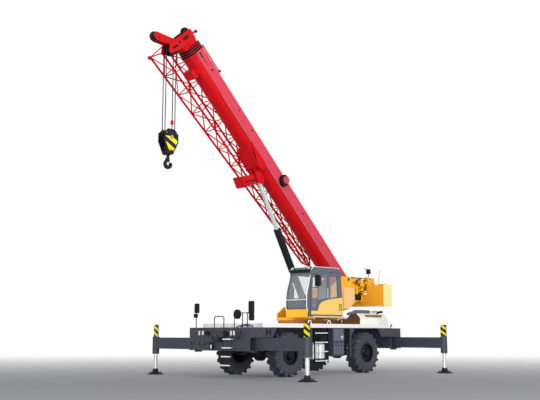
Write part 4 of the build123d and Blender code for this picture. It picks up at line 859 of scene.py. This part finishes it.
class CRANE_OT_boom_parts(bpy.types.Operator):
    """Bolts, pads, hoses and fittings along the boom"""
    bl_idname = "crane.boom_parts"
    bl_label = "Boom parts"

    def execute(self, context):
        shape = bmesh.new()
        box, rod = partial(add_box, shape), partial(add_rod, shape)
        place = boom_frame()
        for s in (10.45, 10.53):
            for y in (-0.25, -0.12, 0.12, 0.25):
                rod((s, y, 0.104), (s, y, 0.122), 0.018, segments=6)
            for side in (-1, 1):
                for n in (-0.24, -0.12, 0.0):
                    rod((s, side * BOOM_SIDE, n), (s, side * 0.346, n), 0.018, segments=6)
        make_piece("collar_bolts", shape, zinc_steel(), "boom", smooth=False, place=place)
        for s, n in ((1.9, -0.1), (3.4, -0.1), (7.2, -0.02), (8.1, -0.06)):
            box((s, BOOM_SIDE, n - 0.02), (s + 0.05, 0.352, n + 0.02))
        box((10.11, BOOM_SIDE, -0.158), (10.5, 0.336, -0.142))
        box((10.42, BOOM_SIDE, -0.19), (10.59, 0.345, -0.12))
        rod((9.849, BOOM_SIDE, -0.103), (9.849, 0.338, -0.103), 0.045)
        for number in range(14):
            s = 2.2 + 0.55 * number
            rod((s, 0.3, 0.1), (s, 0.3, 0.118), 0.014, segments=8)
        box((9.9, -0.1, 0.104), (10.2, 0.1, 0.16))
        make_piece("boom_clips", shape, black_coat(), "boom", bevel=0.004, place=place)
        rod((9.66, 0.2, 0.215), (10.6, 0.2, 0.215), 0.019)
        make_piece("guide_rod", shape, white_coat(), "boom", place=place)
        add_ball(shape, (9.59, 0.2, 0.29), 0.055)
        box((9.98, -0.25, -0.8), (10.3, 0.15, -0.6))
        box((10.05, -0.3, -0.62), (10.25, 0.2, -0.55))
        make_piece("boom_fittings", shape, plain_red(), "boom", bevel=0.006, place=place)
        for side in (-1, 1):
            rod((0, side * 0.34, 0), (0, side * 0.45, 0), 0.06)
        make_piece("pivot_pin_caps", shape, pin_steel(), "boom", bevel=0.006, place=place)
        rod((4.97, 0.46, -0.05), (4.97, 0.52, -0.05), 0.14, segments=32)
        rod((4.98, 0.33, -0.07), (4.98, 0.372, -0.07), 0.1)
        make_piece("reel_hub", shape, boom_enamel(), "boom", bevel=0.004, place=place)
        add_plate(shape, [(6.248, -1.372), (5.814, -0.628), (5.527, -0.824), (5.847, -1.498)], -0.42, 0.06)
        make_piece("jib_clamp", shape, plain_red(), "boom", bevel=0.01, place=place)
        rod((6.010, 0.075, -1.375), (5.613, 0.075, -0.721), 0.022)
        make_piece("jib_clamp_bar", shape, black_coat(), "boom", place=place)
        # Dark strip along the seam: painted shade
        box((0.5, BOOM_SIDE, -0.372), (9.0, 0.334, -0.352))
        make_piece("boom_seam", shape, seam_painted_shade(), "boom", place=place)
        # Pale strip just above the seam: painted highlight
        box((0.5, BOOM_SIDE, -0.352), (9.0, 0.334, -0.344))
        make_piece("boom_seam_edge_highlight", shape, edge_painted_highlight(), "boom", place=place)
        for s, n in ((12.06, -1.2), (12.03, -1.33), (11.92, -1.39), (11.82, -1.33), (11.84, -1.12)):
            rod((s, 0.129, n), (s, 0.134, n), 0.038)
        for low_s, low_n, high_s, high_n in ((11.24, -0.38, 11.32, -0.16), (11.26, -0.95, 11.33, -0.79)):
            box((low_s, 0.29, low_n), (high_s, 0.327, high_n))
        for side in (-1, 1):
            rod((11.33, side * 0.02, 0.06), (11.33, side * 0.03, 0.06), 0.2, segments=32)
        rod((11.42, 0.0, -0.72), (11.42, 0.0, -0.1), 0.022)
        box((11.13, 0.1, 0.35), (11.2, 0.2, 0.4))
        make_piece("head_black_parts", shape, black_coat(), "section_4", bevel=0.003, place=place)
        box((11.18, 0.15, 0.09), (11.24, 0.19, 0.4))
        box((10.98, 0.28, -0.66), (11.04, 0.34, -0.2))
        make_piece("head_red_parts", shape, plain_red(), "section_4", bevel=0.004, place=place)
        add_ball(shape, (11.27, -1.05, -0.98), 0.07)
        make_piece("jib_tip_ball", shape, plain_red(), "boom", place=place)
        return {"FINISHED"}


def floor_paint():
    """Plain studio floor: grey near the camera, fading with distance into the white wall behind the object."""
    material = finish("floor paint", settings().floor_colour, Roughness=0.9)
    tree = material.node_tree
    place = add_node(tree, "ShaderNodeTexCoord")
    foot = (*settings().camera_place[:2], 0)
    far = add_node(tree, "ShaderNodeVectorMath", [(0, place.outputs["Object"])], [(1, foot)], operation="DISTANCE")
    near_end, far_end = FLOOR_FADE_M
    fade = add_node(tree, "ShaderNodeMapRange", [("Value", far.outputs["Value"])],
                    [("From Min", near_end), ("From Max", far_end)], interpolation_type="SMOOTHSTEP")
    wall = add_node(tree, "ShaderNodeEmission", Color=(1, 1, 1, 1))
    mix = add_node(tree, "ShaderNodeMixShader", [(0, fade.outputs[0])])
    tree.links.new(tree.nodes["Principled BSDF"].outputs[0], mix.inputs[1])
    tree.links.new(wall.outputs[0], mix.inputs[2])
    tree.links.new(mix.outputs[0], tree.nodes["Material Output"].inputs["Surface"])
    return material


class CRANE_OT_stage(bpy.types.Operator):
    """Floor, lamps and camera"""
    bl_idname = "crane.stage"
    bl_label = "Set the stage"

    def execute(self, context):
        values = settings()
        bpy.ops.mesh.primitive_plane_add(size=400)
        floor = context.object
        floor.name = "floor"
        paint(floor, floor_paint())
        world = bpy.data.worlds.new("studio")
        context.scene.world = world
        world.use_nodes = True
        tree = world.node_tree
        tree.nodes["Background"].inputs["Color"].default_value = (1, 1, 1, 1)
        path = add_node(tree, "ShaderNodeLightPath")
        strength = add_node(tree, "ShaderNodeMapRange", [("Value", path.outputs["Is Camera Ray"])],
                            [("To Min", 0.5), ("To Max", 1.0)])
        tree.links.new(strength.outputs[0], tree.nodes["Background"].inputs["Strength"])
        for name, place, size, power in LAMPS:
            lamp = bpy.data.lights.new(name, "AREA")
            lamp.size = size
            lamp.energy = power
            stand = add_object(name, lamp)
            stand.location = place
            stand.rotation_euler = (LAMP_TARGET - Vector(place)).to_track_quat("-Z", "Y").to_euler()
        lens = bpy.data.cameras.new("camera")
        lens.sensor_width = SENSOR_MM
        lens.lens = FOCAL_PIXELS / IMAGE_WIDTH * SENSOR_MM
        lens.clip_end = 500
        camera = add_object("camera", lens)
        camera.location = values.camera_place
        heading, lift = values.camera_heading, values.camera_lift
        look = Vector((cos(heading) * cos(lift), sin(heading) * cos(lift), sin(lift)))
        camera.rotation_euler = look.to_track_quat("-Z", "Y").to_euler()
        context.scene.camera = camera
        context.scene.view_settings.view_transform = "Standard"
        return {"FINISHED"}


class CRANE_PT_panel(bpy.types.Panel):
    """Lists the operators and settings"""
    bl_idname = "CRANE_PT_panel"
    bl_label = "Crane"
    bl_space_type = "VIEW_3D"
    bl_region_type = "UI"
    bl_category = "Crane"

    def draw(self, context):
        for name in CraneSettings.__annotations__:
            self.layout.prop(context.scene.crane, name)
        for operator in OPERATORS:
            self.layout.operator(operator.bl_idname)


OPERATORS = (CRANE_OT_finishes, CRANE_OT_pads, CRANE_OT_outrigger_marks, CRANE_OT_wheel_parts, CRANE_OT_cab_parts,
             CRANE_OT_hook_marks, CRANE_OT_winch_parts, CRANE_OT_carrier_parts, CRANE_OT_hood_parts,
             CRANE_OT_boom_parts, CRANE_OT_stage)
CLASSES = (CraneSettings, *OPERATORS, CRANE_PT_panel)


def register():
    """Register the classes and the settings."""
    for item in CLASSES:
        bpy.utils.register_class(item)
    bpy.types.Scene.crane = PointerProperty(type=CraneSettings)


def unregister():
    """Undo register."""
    del bpy.types.Scene.crane
    for item in reversed(CLASSES):
        bpy.utils.unregister_class(item)


def main():
    """Build everything."""
    register()
    for operator in OPERATORS:
        group, name = operator.bl_idname.split(".")
        getattr(getattr(bpy.ops, group), name)()


if __name__ == "__main__":
    main()
